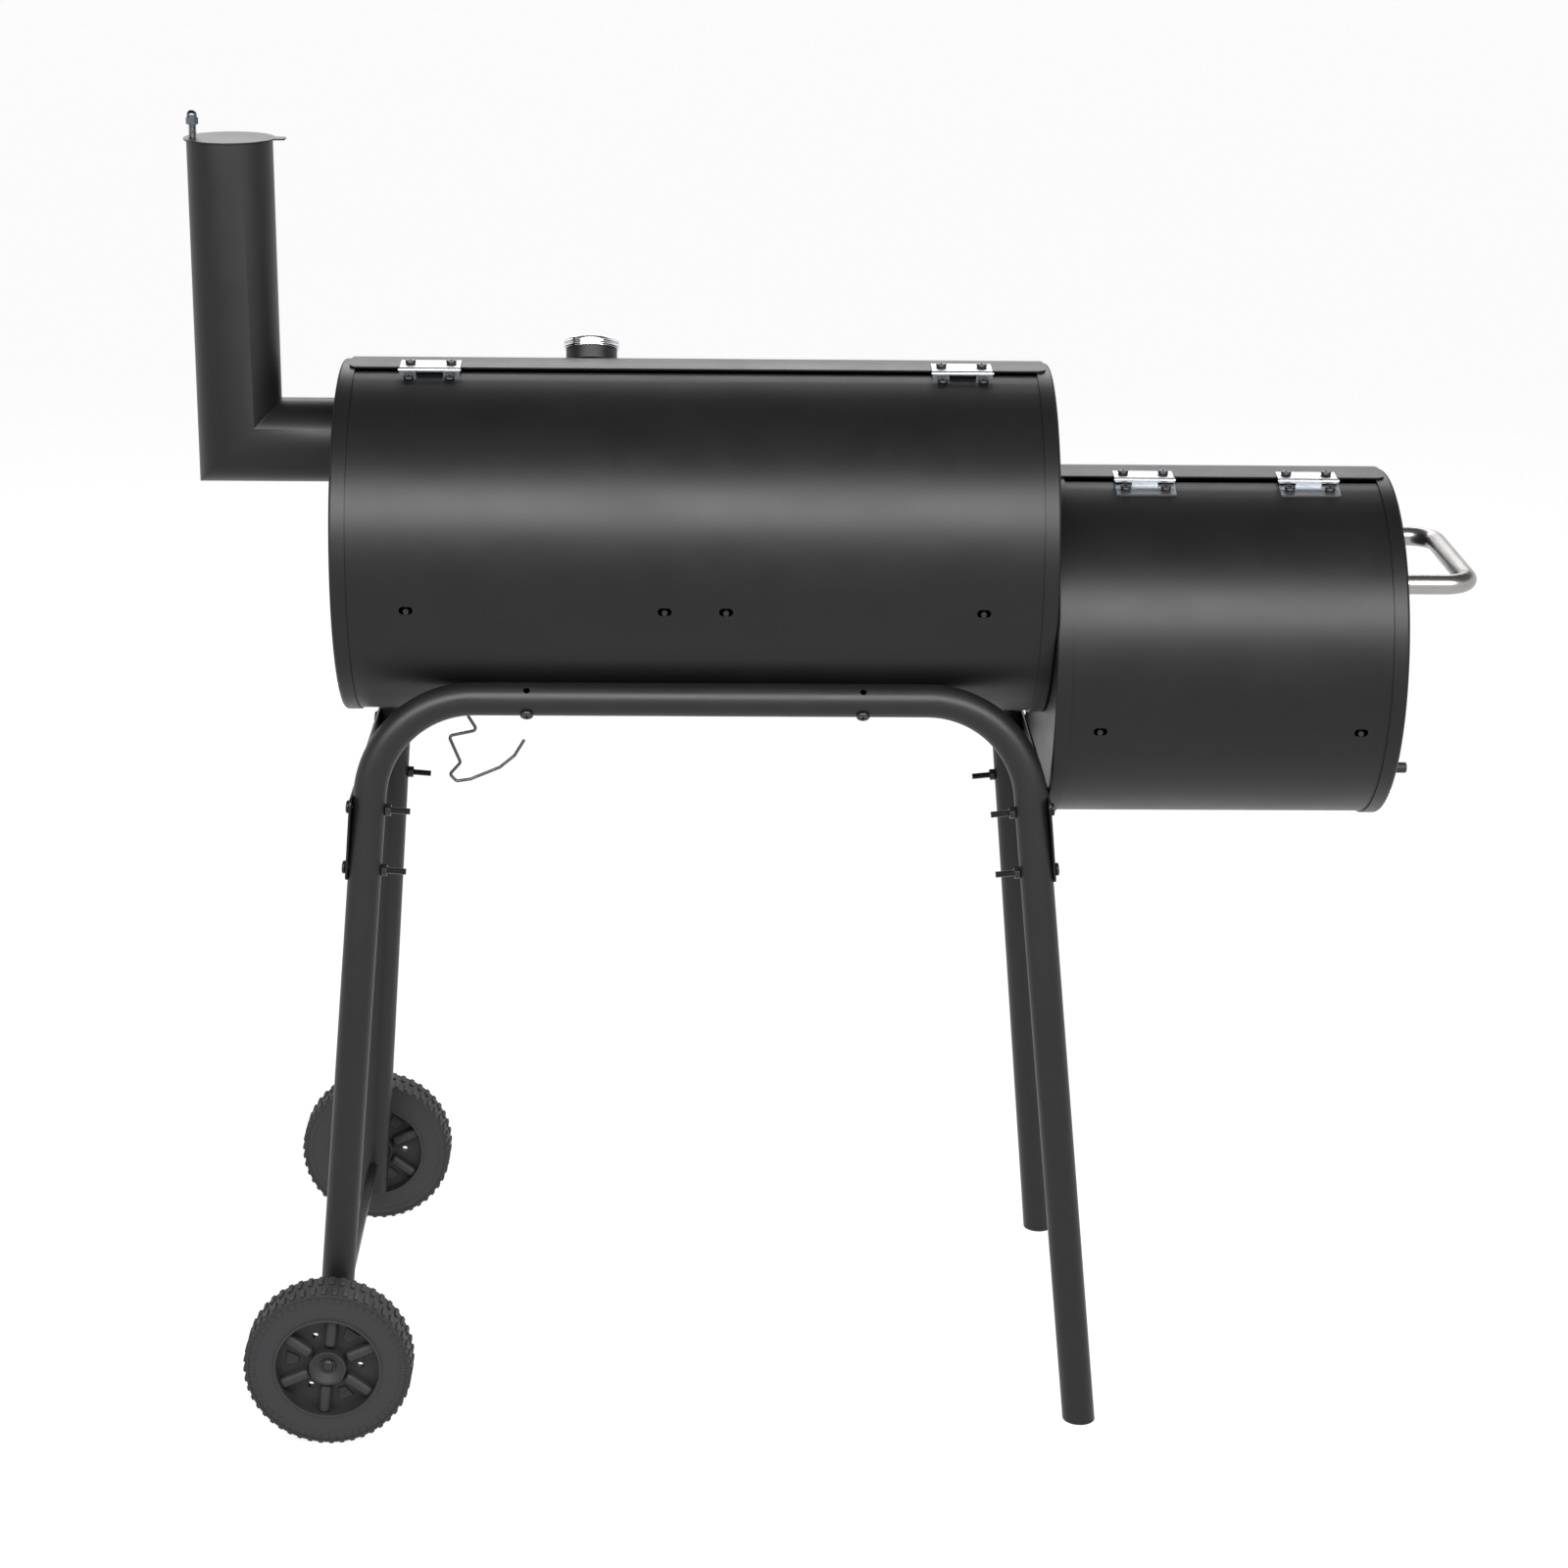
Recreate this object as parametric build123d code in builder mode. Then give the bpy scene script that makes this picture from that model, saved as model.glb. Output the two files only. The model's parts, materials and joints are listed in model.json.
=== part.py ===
"""Offset smoker: a round cooking chamber with a lower firebox on one end and a chimney on the other.

Millimetres, +Z up. The lids open at the front (-Y) on hinges at the rear (+Y). The chimney and the
wheels are at +X, the firebox and the plain feet at -X. The origin is on the floor, below the middle.
"""

import os
from math import atan2, cos, degrees, hypot, radians, sin, sqrt
from typing import NamedTuple

from build123d import *

# ---------------------------------------------------------------- driving dimensions
# Sheet metal
sheet = 1.5  # thickness of every shell, cap, lid and disc
cap_flange = 14.0  # width of an end cap's flange, which fits over the shell
cap_corner = 3.0
clearance = 0.3  # air between pieces that move against each other
running_fit = 0.05  # radial clearance of a pin in its bore

# Cooking chamber
barrel_radius = 158.5  # outside of the shell
barrel_length = 640.0  # over both end caps
barrel_z = 793.4  # height of the axis

# Firebox
firebox_radius = 158.5
firebox_length = 313.0
firebox_drop = 96.2  # its axis below the chamber's
smoke_window_width = 176.0
smoke_window_height = 96.0
smoke_window_corner = 24.0
flange_bolt_inset = 38.5  # from the chamber's wall

# Lids, by arc length on the shell
lid_front_angle = 105.0  # lower front edge, degrees from the top
lid_overlap_front = 28.0
lid_corner = 8.0
main_lid_margin_chimney = 8.4  # the lid ends this far inside the chamber's ends
main_lid_margin_firebox = 5.5
firebox_lid_margin = 5.5
lid_open_angle = 125.0

# Butt hinges. Arc lengths run from the pin along the drum.
hinge_width = 54.0
hinge_leaf = 1.2
hinge_lower_leaf = 20.0
outer_knuckle = 15.0  # a leaf's end at each side of the other leaf's knuckle
knuckle_radius = 2.5
knuckle_gap = 0.4
hinge_pin_radius = 1.15
main_hinge_angle = 12.1  # behind the top
firebox_hinge_angle = 12.2
main_lid_edge = 10.5  # from the lid's rear edge to the pin
firebox_lid_edge = 11.6
main_shell_edge = 7.2  # from the shell's rear edge to the pin
firebox_shell_edge = 5.5
main_upper_leaf = 28.5
firebox_upper_leaf = 23.0
main_upper_screw_arc = 18.3
firebox_upper_screw_arc = 16.0
main_lower_screw_arc = 8.0
firebox_lower_screw_arc = 10.3
main_hinge_spacing = 477.0
firebox_hinge_spacing = 149.0
firebox_hinge_offset = 4.4  # hinge pair's middle, outward of the firebox's middle
hinge_screw_spacing = 36.5
hinge_screw_radius = 2.0
hinge_screw_head = 4.8

# Chimney
chimney_radius = 38.0
chimney_offset = 93.3  # stack's axis past the chamber's end
chimney_rise = 88.1  # horizontal pipe's axis above the chamber's axis
chimney_top = 1151.1
chimney_inset = 10.0  # pipe's end inside the chamber
damper_rim = 2.5  # past the pipe
damper_tab_reach = 49.5
damper_tab_width = 16.0
pivot_inset = 5.6  # from the pipe's outside
pivot_radius = 2.5
spring_radius = 3.2
spring_wire = 0.5
spring_length = 11.0
spring_turns = 5
acorn_flats = 9.5
acorn_hex = 6.0
acorn_dome = 4.4
acorn_height = 12.4
lug_depth = 12.0  # welded lug, below the rim

# Frame
tube_radius = 15.0
tube_wall = 1.5
rail_angle = 46.6  # the top rail touches the shell this far from straight down
foot_half_track = 207.5
bend_radius = 95.0
foot_corner_reach = 294.0  # the rail's corners and the legs' ends, from the chamber's middle
foot_end_reach = 360.8
wheel_corner_reach = 284.7
wheel_end_reach = 334.6
wheel_leg_end_z = 45.0
joiner_length = 120.0
barrel_bolt_reach = 150.0
strap_drop = 246.4  # below the chamber's axis
strap_height = 78.0
strap_thickness = 2.0
strap_corner = 8.0
strap_edge = 12.0  # plate past a leg's centre
strap_relief = 1.0  # air round the firebox
strap_bolt_pitch = 55.0
strap_thread_past_nut = 17.0
plug_height = 25.0

# Fasteners
bolt_radius = 3.0
bolt_head_radius = 6.0
bolt_head_height = 3.6
nut_flats = 10.0
nut_height = 5.0
recess_arm = 1.1  # cross recess, as shares of the head's radius
recess_blade = 0.24
nut_seat_gap = 0.15  # a flat nut or head against a hollow curve

# Wheels
wheel_radius = 76.5
wheel_width = 37.0
wheel_track = 480.8  # between the wheels' middles
wheel_recess_radius = 47.0
wheel_web = 8.0
wheel_boss_radius = 16.0
wheel_boss_step = 1.0  # below the sidewall
wheel_shoulder = 5.0
rib_width = 8.5
rib_count = 6
rib_step = 4.0  # below the sidewall
drain_holes = 3
drain_hole_radius = 3.0
drain_hole_circle = 28.6
tread_notches = 48
tread_notch_width = 4.0
tread_notch_depth = 3.0
tread_notch_length = 9.5
axle_radius = 5.0
hub_pocket_radius = 10.0
hub_pocket_depth = 11.5
hub_cap_thickness = 3.0
hub_cap_hole = 4.7
axle_nut_flats = 13.0
axle_nut_height = 6.0
spacer_radius = 8.5

# Handles, bent from one size of tube
handle_radius = 9.0
handle_wall = 1.5
handle_bend = 25.0
handle_plug = 12.0
handle_screw_radius = 3.0
main_handle_span = 300.0
firebox_handle_span = 160.0
lid_handle_reach = 48.0  # from the lid to the grip's axis
end_handle_span = 182.0
end_handle_reach = 65.3
end_handle_rise = 78.0  # above the firebox's axis

# Air damper on the firebox's end
air_damper_radius = 62.0
air_damper_drop = 75.0
air_hole_radius = 13.0
air_hole_circle = 36.0
air_holes = 3
air_knob_radius = 5.0
air_knob_length = 27.0
air_knob_circle = 53.5
air_knob_angle = 43.0  # below the horizontal, toward the rear
air_pivot_radius = 3.0

# Temperature gauge on the main lid
gauge_x = 97.2  # from the chamber's middle
gauge_angle = -24.0  # toward the front
gauge_body_radius = 23.5
gauge_body_height = 15.0
gauge_bezel_radius = 26.0
gauge_bezel_height = 8.0
gauge_height = 20.0
gauge_lip = 3.5
gauge_wall = 1.5
gauge_stem_radius = 4.0
gauge_stem_length = 26.0
gauge_nut_flats = 14.0
gauge_pin_radius = 1.2
dial_thickness = 1.0
glass_thickness = 1.5
needle_thickness = 0.8
needle_cold_angle = 225.0  # anticlockwise from +X, seen from outside
needle_length = 17.0
needle_tail = 6.0
needle_hub = 3.0

# Grates
grate_drop = 30.4  # slots below the chamber's axis
firebox_grate_drop = 43.2
slot_width = 12.4
slot_height = 7.5
grate_rod_radius = 2.5
grate_wire_radius = 2.0
grate_wire_pitch = 17.5
grate_wire_sink = 0.5  # a wire's weld into its rod
grate_slot_near = 27.0  # from the chamber's middle
grate_slot_far = 254.0
grate_near_end = 7.0
grate_far_end = 298.0
firebox_slot_near = 41.3  # from the firebox's inner end
firebox_slot_far = 274.9
firebox_grate_margin = 18.0

# Wire hanger for a grease can, in the drain hole
hanger_x = 211.9  # from the chamber's middle
hanger_wire = 1.5
hanger_bend = 3.0
drain_radius = 5.0
hanger_hook = 13.0

# ---------------------------------------------------------------- worked-out places
cap_radius = barrel_radius + sheet
firebox_cap_radius = firebox_radius + sheet
firebox_z = barrel_z - firebox_drop
half_length = barrel_length / 2
damper_radius = chimney_radius + damper_rim
pivot_offset = chimney_radius - pivot_inset
# The overall middle lies between the end handle and the damper's edge.
barrel_x = (half_length + firebox_length + end_handle_reach + handle_radius) / 2 - (
    half_length + chimney_offset + damper_radius
) / 2
chimney_x = barrel_x + half_length + chimney_offset
barrel_end_chimney = barrel_x + half_length
barrel_end_firebox = barrel_x - half_length
firebox_end = barrel_end_firebox - firebox_length
lid_inner = cap_radius + clearance
lid_outer = lid_inner + sheet
firebox_lid_inner = firebox_cap_radius + clearance
firebox_lid_outer = firebox_lid_inner + sheet
pipe_z = barrel_z + chimney_rise

rail_distance = barrel_radius + tube_radius
rail_y = rail_distance * sin(radians(rail_angle))
rail_z = barrel_z - rail_distance * cos(radians(rail_angle))
leg_tilt = atan2(foot_half_track - rail_y, rail_z)  # of each frame's plane, radians
strap_z = barrel_z - strap_drop
axle_z = wheel_radius

SIDES = (("rear", 1), ("front", -1))
# Name, direction along X, rail corner, leg end, height of the leg's end
LEGS = (
    ("foot", -1, foot_corner_reach, foot_end_reach, 0.0),
    ("wheel", 1, wheel_corner_reach, wheel_end_reach, wheel_leg_end_z),
)


def arc_degrees(length, radius):
    """The angle that an arc length takes on a radius."""
    return degrees(length / radius)


def on_circle(axis_z, radius, angle):
    """The (y, z) of a point on a drum, by its angle from the top toward the rear."""
    return (radius * sin(radians(angle)), axis_z + radius * cos(radians(angle)))


def outward(angle):
    """The direction away from a drum's axis, by its angle from the top toward the rear."""
    return Vector(0, sin(radians(angle)), cos(radians(angle)))


def sector(plane_x, axis_z, inner, outer, start, stop):
    """A curved strip across a drum, from one angle to another, on the plane at plane_x."""
    with BuildSketch(Plane.YZ.offset(plane_x)) as strip:
        with BuildLine():
            far = CenterArc((0, axis_z), outer, 90 - stop, stop - start)
            near = CenterArc((0, axis_z), inner, 90 - stop, stop - start)
            Line(far @ 0, near @ 0)
            Line(far @ 1, near @ 1)
        make_face()
    return strip.sketch


def rod(start, direction, radius, length, mode=Mode.ADD):
    """Adds a round rod that starts at a point and runs along a direction."""
    with Locations(Plane(origin=start, z_dir=direction)):
        Cylinder(radius, length, align=(Align.CENTER, Align.CENTER, Align.MIN), mode=mode)


def hex_nut(seat, direction, flats, height, bore):
    """Adds a hex nut that stands on its seat along a direction."""
    with BuildSketch(Plane(origin=seat, z_dir=direction)) as outline:
        RegularPolygon(flats / 2, 6, major_radius=False)
        Circle(bore, mode=Mode.SUBTRACT)
    extrude(outline.sketch, amount=height)


def round_screw(seat, direction, head_radius, head_height, shank_radius, shank_length):
    """Adds a screw: its domed head stands on the seat, its shank runs along the direction."""
    plane = Plane(origin=seat, z_dir=direction)
    with BuildSketch(Plane(origin=seat, x_dir=plane.x_dir, z_dir=plane.y_dir)) as profile:
        with BuildLine():
            top = Line((0, -head_height), (head_radius * 0.45, -head_height))
            dome = RadiusArc(top @ 1, (head_radius, -head_height * 0.3), -head_radius)
            Polyline(
                dome @ 1,
                (head_radius, 0),
                (shank_radius, 0),
                (shank_radius, shank_length),
                (0, shank_length),
                (0, -head_height),
            )
        make_face()
    # The profile's +Y is against the direction or along it, so it is turned to run along.
    solid = revolve(profile.sketch, axis=Axis(seat, direction), mode=Mode.PRIVATE)
    far_end = Vector(*seat) + Vector(*direction).normalized() * shank_length
    if solid.distance_to(Vertex(*far_end)) > shank_radius:
        solid = solid.mirror(Plane(origin=seat, z_dir=direction))
    add(solid)
    arm, blade = head_radius * recess_arm, head_radius * recess_blade
    with Locations(plane.offset(-head_height)):
        for across, along in ((arm, blade), (blade, arm)):
            Box(across, along, head_height, mode=Mode.SUBTRACT)


def end_cap(face_x, inward, axis_z, shell_radius):
    """Adds a dished end cap, from its outer face inward, with its flange over the shell."""
    outer = shell_radius + sheet
    back_x = face_x + inward * sheet
    with BuildSketch(Plane.XZ) as profile:
        with BuildLine():
            FilletPolyline(
                (face_x, axis_z),
                (face_x, axis_z + outer),
                (face_x + inward * cap_flange, axis_z + outer),
                (face_x + inward * cap_flange, axis_z + shell_radius),
                (back_x, axis_z + shell_radius),
                (back_x, axis_z),
                radius=(cap_corner, 0, 0, 0),
            )
            Line((back_x, axis_z), (face_x, axis_z))
        make_face()
    revolve(profile.sketch, axis=Axis((0, 0, axis_z), (1, 0, 0)))


def window(face_x, depth):
    """Cuts the smoke window, which is shared by the chamber's cap and the firebox's cap."""
    with BuildSketch(Plane.YZ.offset(face_x)) as opening:
        with Locations((0, window_z)):
            RectangleRounded(smoke_window_width, smoke_window_height, smoke_window_corner)
    extrude(opening.sketch, amount=depth, both=True, mode=Mode.SUBTRACT)


def grate_slots(positions, slot_z, shell_radius):
    """Cuts the slots for a grate's rods through the front and rear walls."""
    for slot_x in positions:
        with BuildSketch(Plane.XZ.offset(-2 * shell_radius)) as outline:
            with Locations((slot_x, slot_z)):
                SlotOverall(slot_width, slot_height)
        extrude(outline.sketch, amount=4 * shell_radius, mode=Mode.SUBTRACT)


def grate(rod_positions, near_x, far_x, slot_z, axis_z, shell_radius):
    """Adds a wire grate: two rods across the drum and straight wires along it."""
    rod_z = slot_z - slot_height / 2 + grate_rod_radius + grate_seat
    half_rod = sqrt(shell_radius**2 - (axis_z - rod_z) ** 2) - sheet / 2
    for rod_x in rod_positions:
        rod((rod_x, -half_rod, rod_z), (0, 1, 0), grate_rod_radius, 2 * half_rod)
    wire_z = rod_z + grate_rod_radius + grate_wire_radius - grate_wire_sink
    wire_room = sqrt((shell_radius - sheet) ** 2 - (axis_z - wire_z) ** 2)
    wire_count = 2 * int((wire_room - 3 * grate_wire_radius) / grate_wire_pitch) + 1
    with Locations(((near_x + far_x) / 2, 0, wire_z)):
        with GridLocations(1, grate_wire_pitch, 1, wire_count):
            Cylinder(grate_wire_radius, abs(far_x - near_x), rotation=(0, 90, 0))


def bent_handle(base, away, along, span, reach):
    """Adds a U handle of bent tube, with plugged and tapped ends on its two feet."""
    plane = Plane(origin=base, x_dir=along, z_dir=Vector(*along).cross(Vector(*away)))
    half = span / 2
    with BuildLine(plane) as route:
        FilletPolyline((-half, 0), (-half, reach), (half, reach), (half, 0), radius=handle_bend)
    for radius, mode in ((handle_radius, Mode.ADD), (handle_radius - handle_wall, Mode.SUBTRACT)):
        with BuildSketch(Plane(origin=route.line @ 0, z_dir=away)) as section:
            Circle(radius)
        sweep(section.sketch, path=route.line, mode=mode)
    for end in (-1, 1):
        foot = Vector(*base) + Vector(*along) * (end * half)
        rod(foot, away, handle_radius - handle_wall, handle_plug)
        rod(foot, away, handle_screw_radius, handle_plug, mode=Mode.SUBTRACT)


def handle_screws(base, away, along, span):
    """Adds the two screws that hold a handle through a sheet, with their heads inside."""
    for end in (-1, 1):
        foot = Vector(*base) + Vector(*along) * (end * span / 2)
        seat = foot - Vector(*away) * (sheet + nut_seat_gap)
        length = sheet + nut_seat_gap + handle_plug - 2
        round_screw(seat, away, bolt_head_radius, bolt_head_height, handle_screw_radius, length)


def frame_plane(side):
    """The tilted plane of one inverted U frame, with its origin at the middle of the rail."""
    return Plane(
        origin=(barrel_x, side * rail_y, rail_z),
        x_dir=(1, 0, 0),
        z_dir=(0, -cos(leg_tilt), -side * sin(leg_tilt)),
    )


def leg_point(side, direction, corner, end, end_z, height):
    """The point on a leg's centre line at a height."""
    share = (rail_z - height) / (rail_z - end_z)
    x = barrel_x + direction * (corner + (end - corner) * share)
    return Vector(x, side * (rail_y + (rail_z - height) * sin(leg_tilt) / cos(leg_tilt)), height)


def leg_outward(direction, corner, end, end_z):
    """The direction square to the legs of one end, pointing outward."""
    run, fall = end - corner, rail_z - end_z
    size = hypot(run, fall)
    return Vector(direction * fall / size, 0, run / size)


class HingeRow(NamedTuple):
    """One drum's pair of hinges. Angles run from the drum's top toward the rear."""

    centres: list
    axis_z: float
    lid_radius: float
    angle: float  # the pin's
    plate_radius: float  # under the fixed leaf
    leaf_end: float  # the fixed leaf's lower edge
    upper_leaf: float
    fixed_knuckles: list  # each one's middle and length
    moving_knuckles: list
    upper_screw: float
    lower_screw: float
    lower_seat: float  # radius under the lower screws' heads

    def pin(self):
        """The (y, z) of the pin."""
        return on_circle(self.axis_z, self.lid_radius + hinge_leaf, self.angle)

    def post_angle(self):
        """Where the fixed leaf rises to its knuckles."""
        post = (hinge_pin_radius + knuckle_radius) / 2 + running_fit
        return self.angle + arc_degrees(post, self.lid_radius + hinge_leaf)


def leaf_plate(centre_x, width, axis_z, inner, start, stop):
    """Adds a hinge leaf's curved plate, of one width, about its middle."""
    strip = sector(centre_x - width / 2, axis_z, inner, inner + hinge_leaf, start, stop)
    extrude(strip, amount=width)


def knuckle(centre_x, length, axis):
    """Adds a knuckle about the hinge axis."""
    rod((centre_x - length / 2, *axis), (1, 0, 0), knuckle_radius, length)


def knuckle_bore(centre_x, axis):
    """Cuts the pin's bore through a leaf's knuckles."""
    start = (centre_x - hinge_width, *axis)
    rod(start, (1, 0, 0), hinge_pin_radius + running_fit, 2 * hinge_width, mode=Mode.SUBTRACT)


def fixed_leaf(row, centre_x):
    """Adds the leaf on the shell, with its knuckles."""
    hinge_radius = row.lid_radius + hinge_leaf
    post_angle = row.post_angle()
    start = post_angle - arc_degrees(hinge_leaf / 2, hinge_radius)
    leaf_plate(centre_x, hinge_width, row.axis_z, row.plate_radius, start, row.leaf_end)
    sink = hinge_leaf / 3  # of the post into the plate
    for offset, length in row.fixed_knuckles:
        knuckle(centre_x + offset, length, row.pin())
        middle = on_circle(row.axis_z, (row.plate_radius + hinge_radius + sink) / 2, post_angle)
        with BuildSketch(Plane.YZ.offset(centre_x + offset)) as web:
            with Locations(middle):
                height = hinge_radius - row.plate_radius - sink
                Rectangle(hinge_leaf, height, rotation=-post_angle)
        extrude(web.sketch, amount=length / 2, both=True)
    knuckle_bore(centre_x, row.pin())


def moving_leaf(row, centre_x):
    """Adds the leaf on the lid, with its knuckles."""
    lid_radius = row.lid_radius
    start = row.angle - arc_degrees(row.upper_leaf, lid_radius)
    short_stop = row.angle - arc_degrees(knuckle_radius + knuckle_gap, lid_radius)
    long_stop = row.angle - arc_degrees(hinge_pin_radius + knuckle_gap, lid_radius)
    leaf_plate(centre_x, hinge_width, row.axis_z, lid_radius, start, short_stop)
    for offset, length in row.moving_knuckles:
        leaf_plate(centre_x + offset, length, row.axis_z, lid_radius, start, long_stop)
        knuckle(centre_x + offset, length, row.pin())
    knuckle_bore(centre_x, row.pin())


def shell_notches(row):
    """Cuts a shell's edge clear of the fixed leaves' posts, where they pass inside it."""
    bottom = row.post_angle() + arc_degrees(hinge_leaf / 2 + clearance, row.plate_radius)
    for centre_x in row.centres:
        for offset, length in row.fixed_knuckles:
            width = length + 2 * clearance
            start_x = centre_x + offset - width / 2
            inner = row.plate_radius + hinge_leaf / 2
            notch = sector(start_x, row.axis_z, inner, row.lid_radius, 0, bottom)
            extrude(notch, amount=width, mode=Mode.SUBTRACT)


def hinge_screw_places(row, seat_radius, angle):
    """The seats of one row's screws."""
    for centre_x in row.centres:
        for end in (-1, 1):
            x = centre_x + end * hinge_screw_spacing / 2
            yield (x, *on_circle(row.axis_z, seat_radius, angle))


def hinge_screw_holes(row, seat_radius, angle):
    """Cuts the holes of one row's screws through whatever they hold."""
    for place in hinge_screw_places(row, seat_radius + hinge_leaf, angle):
        rod(place, -outward(angle), hinge_screw_radius, 5 * sheet, mode=Mode.SUBTRACT)


def hinge_screws(row, seat_radius, angle, length):
    """Adds one row's screws."""
    for place in hinge_screw_places(row, seat_radius, angle):
        head = (hinge_screw_head, hinge_screw_head * 0.6)
        round_screw(place, -outward(angle), *head, hinge_screw_radius, length)


def lid_panel(start_x, length, axis_z, inner, rear_angle):
    """Adds a lid's curved sheet with rounded corners."""
    strip = sector(start_x, axis_z, inner, inner + sheet, -lid_front_angle, rear_angle)
    panel = extrude(strip, amount=length)
    across = [edge for edge in panel.edges() if edge.length < 1.5 * sheet]
    fillet(across, radius=lid_corner)


def drum_shell(start_x, length, axis_z, radius, rear_angle):
    """Adds an open drum: the wall below the lid, from the rear edge round to the front edge."""
    front_angle = 360 - lid_front_angle + arc_degrees(lid_overlap_front, radius)
    extrude(sector(start_x, axis_z, radius - sheet, radius, rear_angle, front_angle), amount=length)


window_z = (barrel_z - barrel_radius + firebox_z + firebox_radius) / 2
grate_seat = 0.1
main_slots = [barrel_x + s * r for s in (-1, 1) for r in (grate_slot_near, grate_slot_far)]
firebox_slots = [barrel_end_firebox - reach for reach in (firebox_slot_near, firebox_slot_far)]
main_slot_z = barrel_z - grate_drop
firebox_slot_z = firebox_z - firebox_grate_drop

main_lid_rear = main_hinge_angle - arc_degrees(main_lid_edge, lid_outer)
firebox_lid_rear = firebox_hinge_angle - arc_degrees(firebox_lid_edge, firebox_lid_outer)
main_shell_rear = main_hinge_angle - arc_degrees(main_shell_edge, barrel_radius)
firebox_shell_rear = firebox_hinge_angle - arc_degrees(firebox_shell_edge, firebox_radius)

main_hinges = [barrel_x + s * main_hinge_spacing / 2 for s in (-1, 1)]
firebox_middle = barrel_end_firebox - firebox_length / 2
firebox_hinges = [
    firebox_middle - firebox_hinge_offset + s * firebox_hinge_spacing / 2 for s in (-1, 1)
]
outer_knuckles = [
    (s * (hinge_width - outer_knuckle + knuckle_gap / 2) / 2, outer_knuckle - knuckle_gap / 2)
    for s in (-1, 1)
]
middle_knuckle = [(0.0, hinge_width - 2 * outer_knuckle - knuckle_gap)]
# The chamber's lower leaves lie inside its wall, the firebox's outside.
MAIN_HINGES = HingeRow(
    centres=main_hinges,
    axis_z=barrel_z,
    lid_radius=lid_outer,
    angle=main_hinge_angle,
    plate_radius=barrel_radius - sheet - hinge_leaf,
    leaf_end=main_hinge_angle + arc_degrees(hinge_lower_leaf, barrel_radius),
    upper_leaf=main_upper_leaf,
    fixed_knuckles=outer_knuckles,
    moving_knuckles=middle_knuckle,
    upper_screw=main_hinge_angle - arc_degrees(main_upper_screw_arc, lid_outer),
    lower_screw=main_hinge_angle + arc_degrees(main_lower_screw_arc, barrel_radius),
    lower_seat=barrel_radius,
)
FIREBOX_HINGES = HingeRow(
    centres=firebox_hinges,
    axis_z=firebox_z,
    lid_radius=firebox_lid_outer,
    angle=firebox_hinge_angle,
    plate_radius=firebox_radius,
    leaf_end=firebox_hinge_angle + arc_degrees(hinge_lower_leaf, firebox_radius),
    upper_leaf=firebox_upper_leaf,
    fixed_knuckles=middle_knuckle,
    moving_knuckles=outer_knuckles,
    upper_screw=firebox_hinge_angle - arc_degrees(firebox_upper_screw_arc, firebox_lid_outer),
    lower_screw=firebox_hinge_angle + arc_degrees(firebox_lower_screw_arc, firebox_radius),
    lower_seat=firebox_radius + hinge_leaf,
)
HINGE_ROWS = (MAIN_HINGES, FIREBOX_HINGES)
lower_screw_length = 9.0
upper_screw_length = 8.0

flange_bolt_y = barrel_radius - flange_bolt_inset
flange_bolts_at = (
    (flange_bolt_y, window_z),
    (-flange_bolt_y, window_z),
    (0.0, window_z + smoke_window_height / 2 + 32),
    (0.0, window_z - smoke_window_height / 2 - 32),
)
rail_out = Vector(0, sin(radians(rail_angle)), -cos(radians(rail_angle)))
drain_x = barrel_x + hanger_x
air_z = firebox_z - air_damper_drop
gauge_seat = Vector(barrel_x + gauge_x, *on_circle(barrel_z, lid_outer, gauge_angle))
gauge_out = outward(gauge_angle)
lid_handle_base = (barrel_x, -lid_outer, barrel_z)
firebox_handle_base = (firebox_middle, -firebox_lid_outer, firebox_z)
end_handle_base = (firebox_end, 0, firebox_z + end_handle_rise)


def rail_bolt_places():
    """Each bolt that holds a rail to the shell: its side, its rail point and its direction out."""
    for _, side in SIDES:
        for end in (-1, 1):
            x = barrel_x + end * barrel_bolt_reach
            yield side, Vector(x, side * rail_y, rail_z), Vector(0, side * rail_out.Y, rail_out.Z)


def strap_bolt_places(side):
    """Each strap bolt on one side: its end's direction, the leg's centre there and the way out."""
    for _, direction, corner, end, end_z in LEGS:
        out = leg_outward(direction, corner, end, end_z)
        for step in (-1, 1):
            height = strap_z + step * strap_bolt_pitch / 2
            yield direction, leg_point(side, direction, corner, end, end_z, height), out


os.makedirs("parts", exist_ok=True)

# ---------------------------------------------------------------- cooking chamber
with BuildPart() as barrel_shell:
    drum_shell(
        barrel_end_firebox + sheet, barrel_length - 2 * sheet, barrel_z, barrel_radius, main_shell_rear
    )
    grate_slots(main_slots, main_slot_z, barrel_radius)
    hinge_screw_holes(MAIN_HINGES, barrel_radius, MAIN_HINGES.lower_screw)
    shell_notches(MAIN_HINGES)
    for side, point, out in rail_bolt_places():
        rod(point, -out, bolt_radius, 2 * tube_radius, mode=Mode.SUBTRACT)
    rod((drain_x, 0, barrel_z), (0, 0, -1), drain_radius, 2 * barrel_radius, mode=Mode.SUBTRACT)
barrel_shell.part.label = "barrel_shell"
export_step(barrel_shell.part, "parts/barrel_shell.step")

with BuildPart() as barrel_cap_chimney:
    end_cap(barrel_end_chimney, -1, barrel_z, barrel_radius)
    rod(
        (barrel_end_chimney - barrel_radius / 2, 0, pipe_z),
        (1, 0, 0),
        chimney_radius,
        barrel_radius,
        mode=Mode.SUBTRACT,
    )
barrel_cap_chimney.part.label = "barrel_cap_chimney"
export_step(barrel_cap_chimney.part, "parts/barrel_cap_chimney.step")

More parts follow.
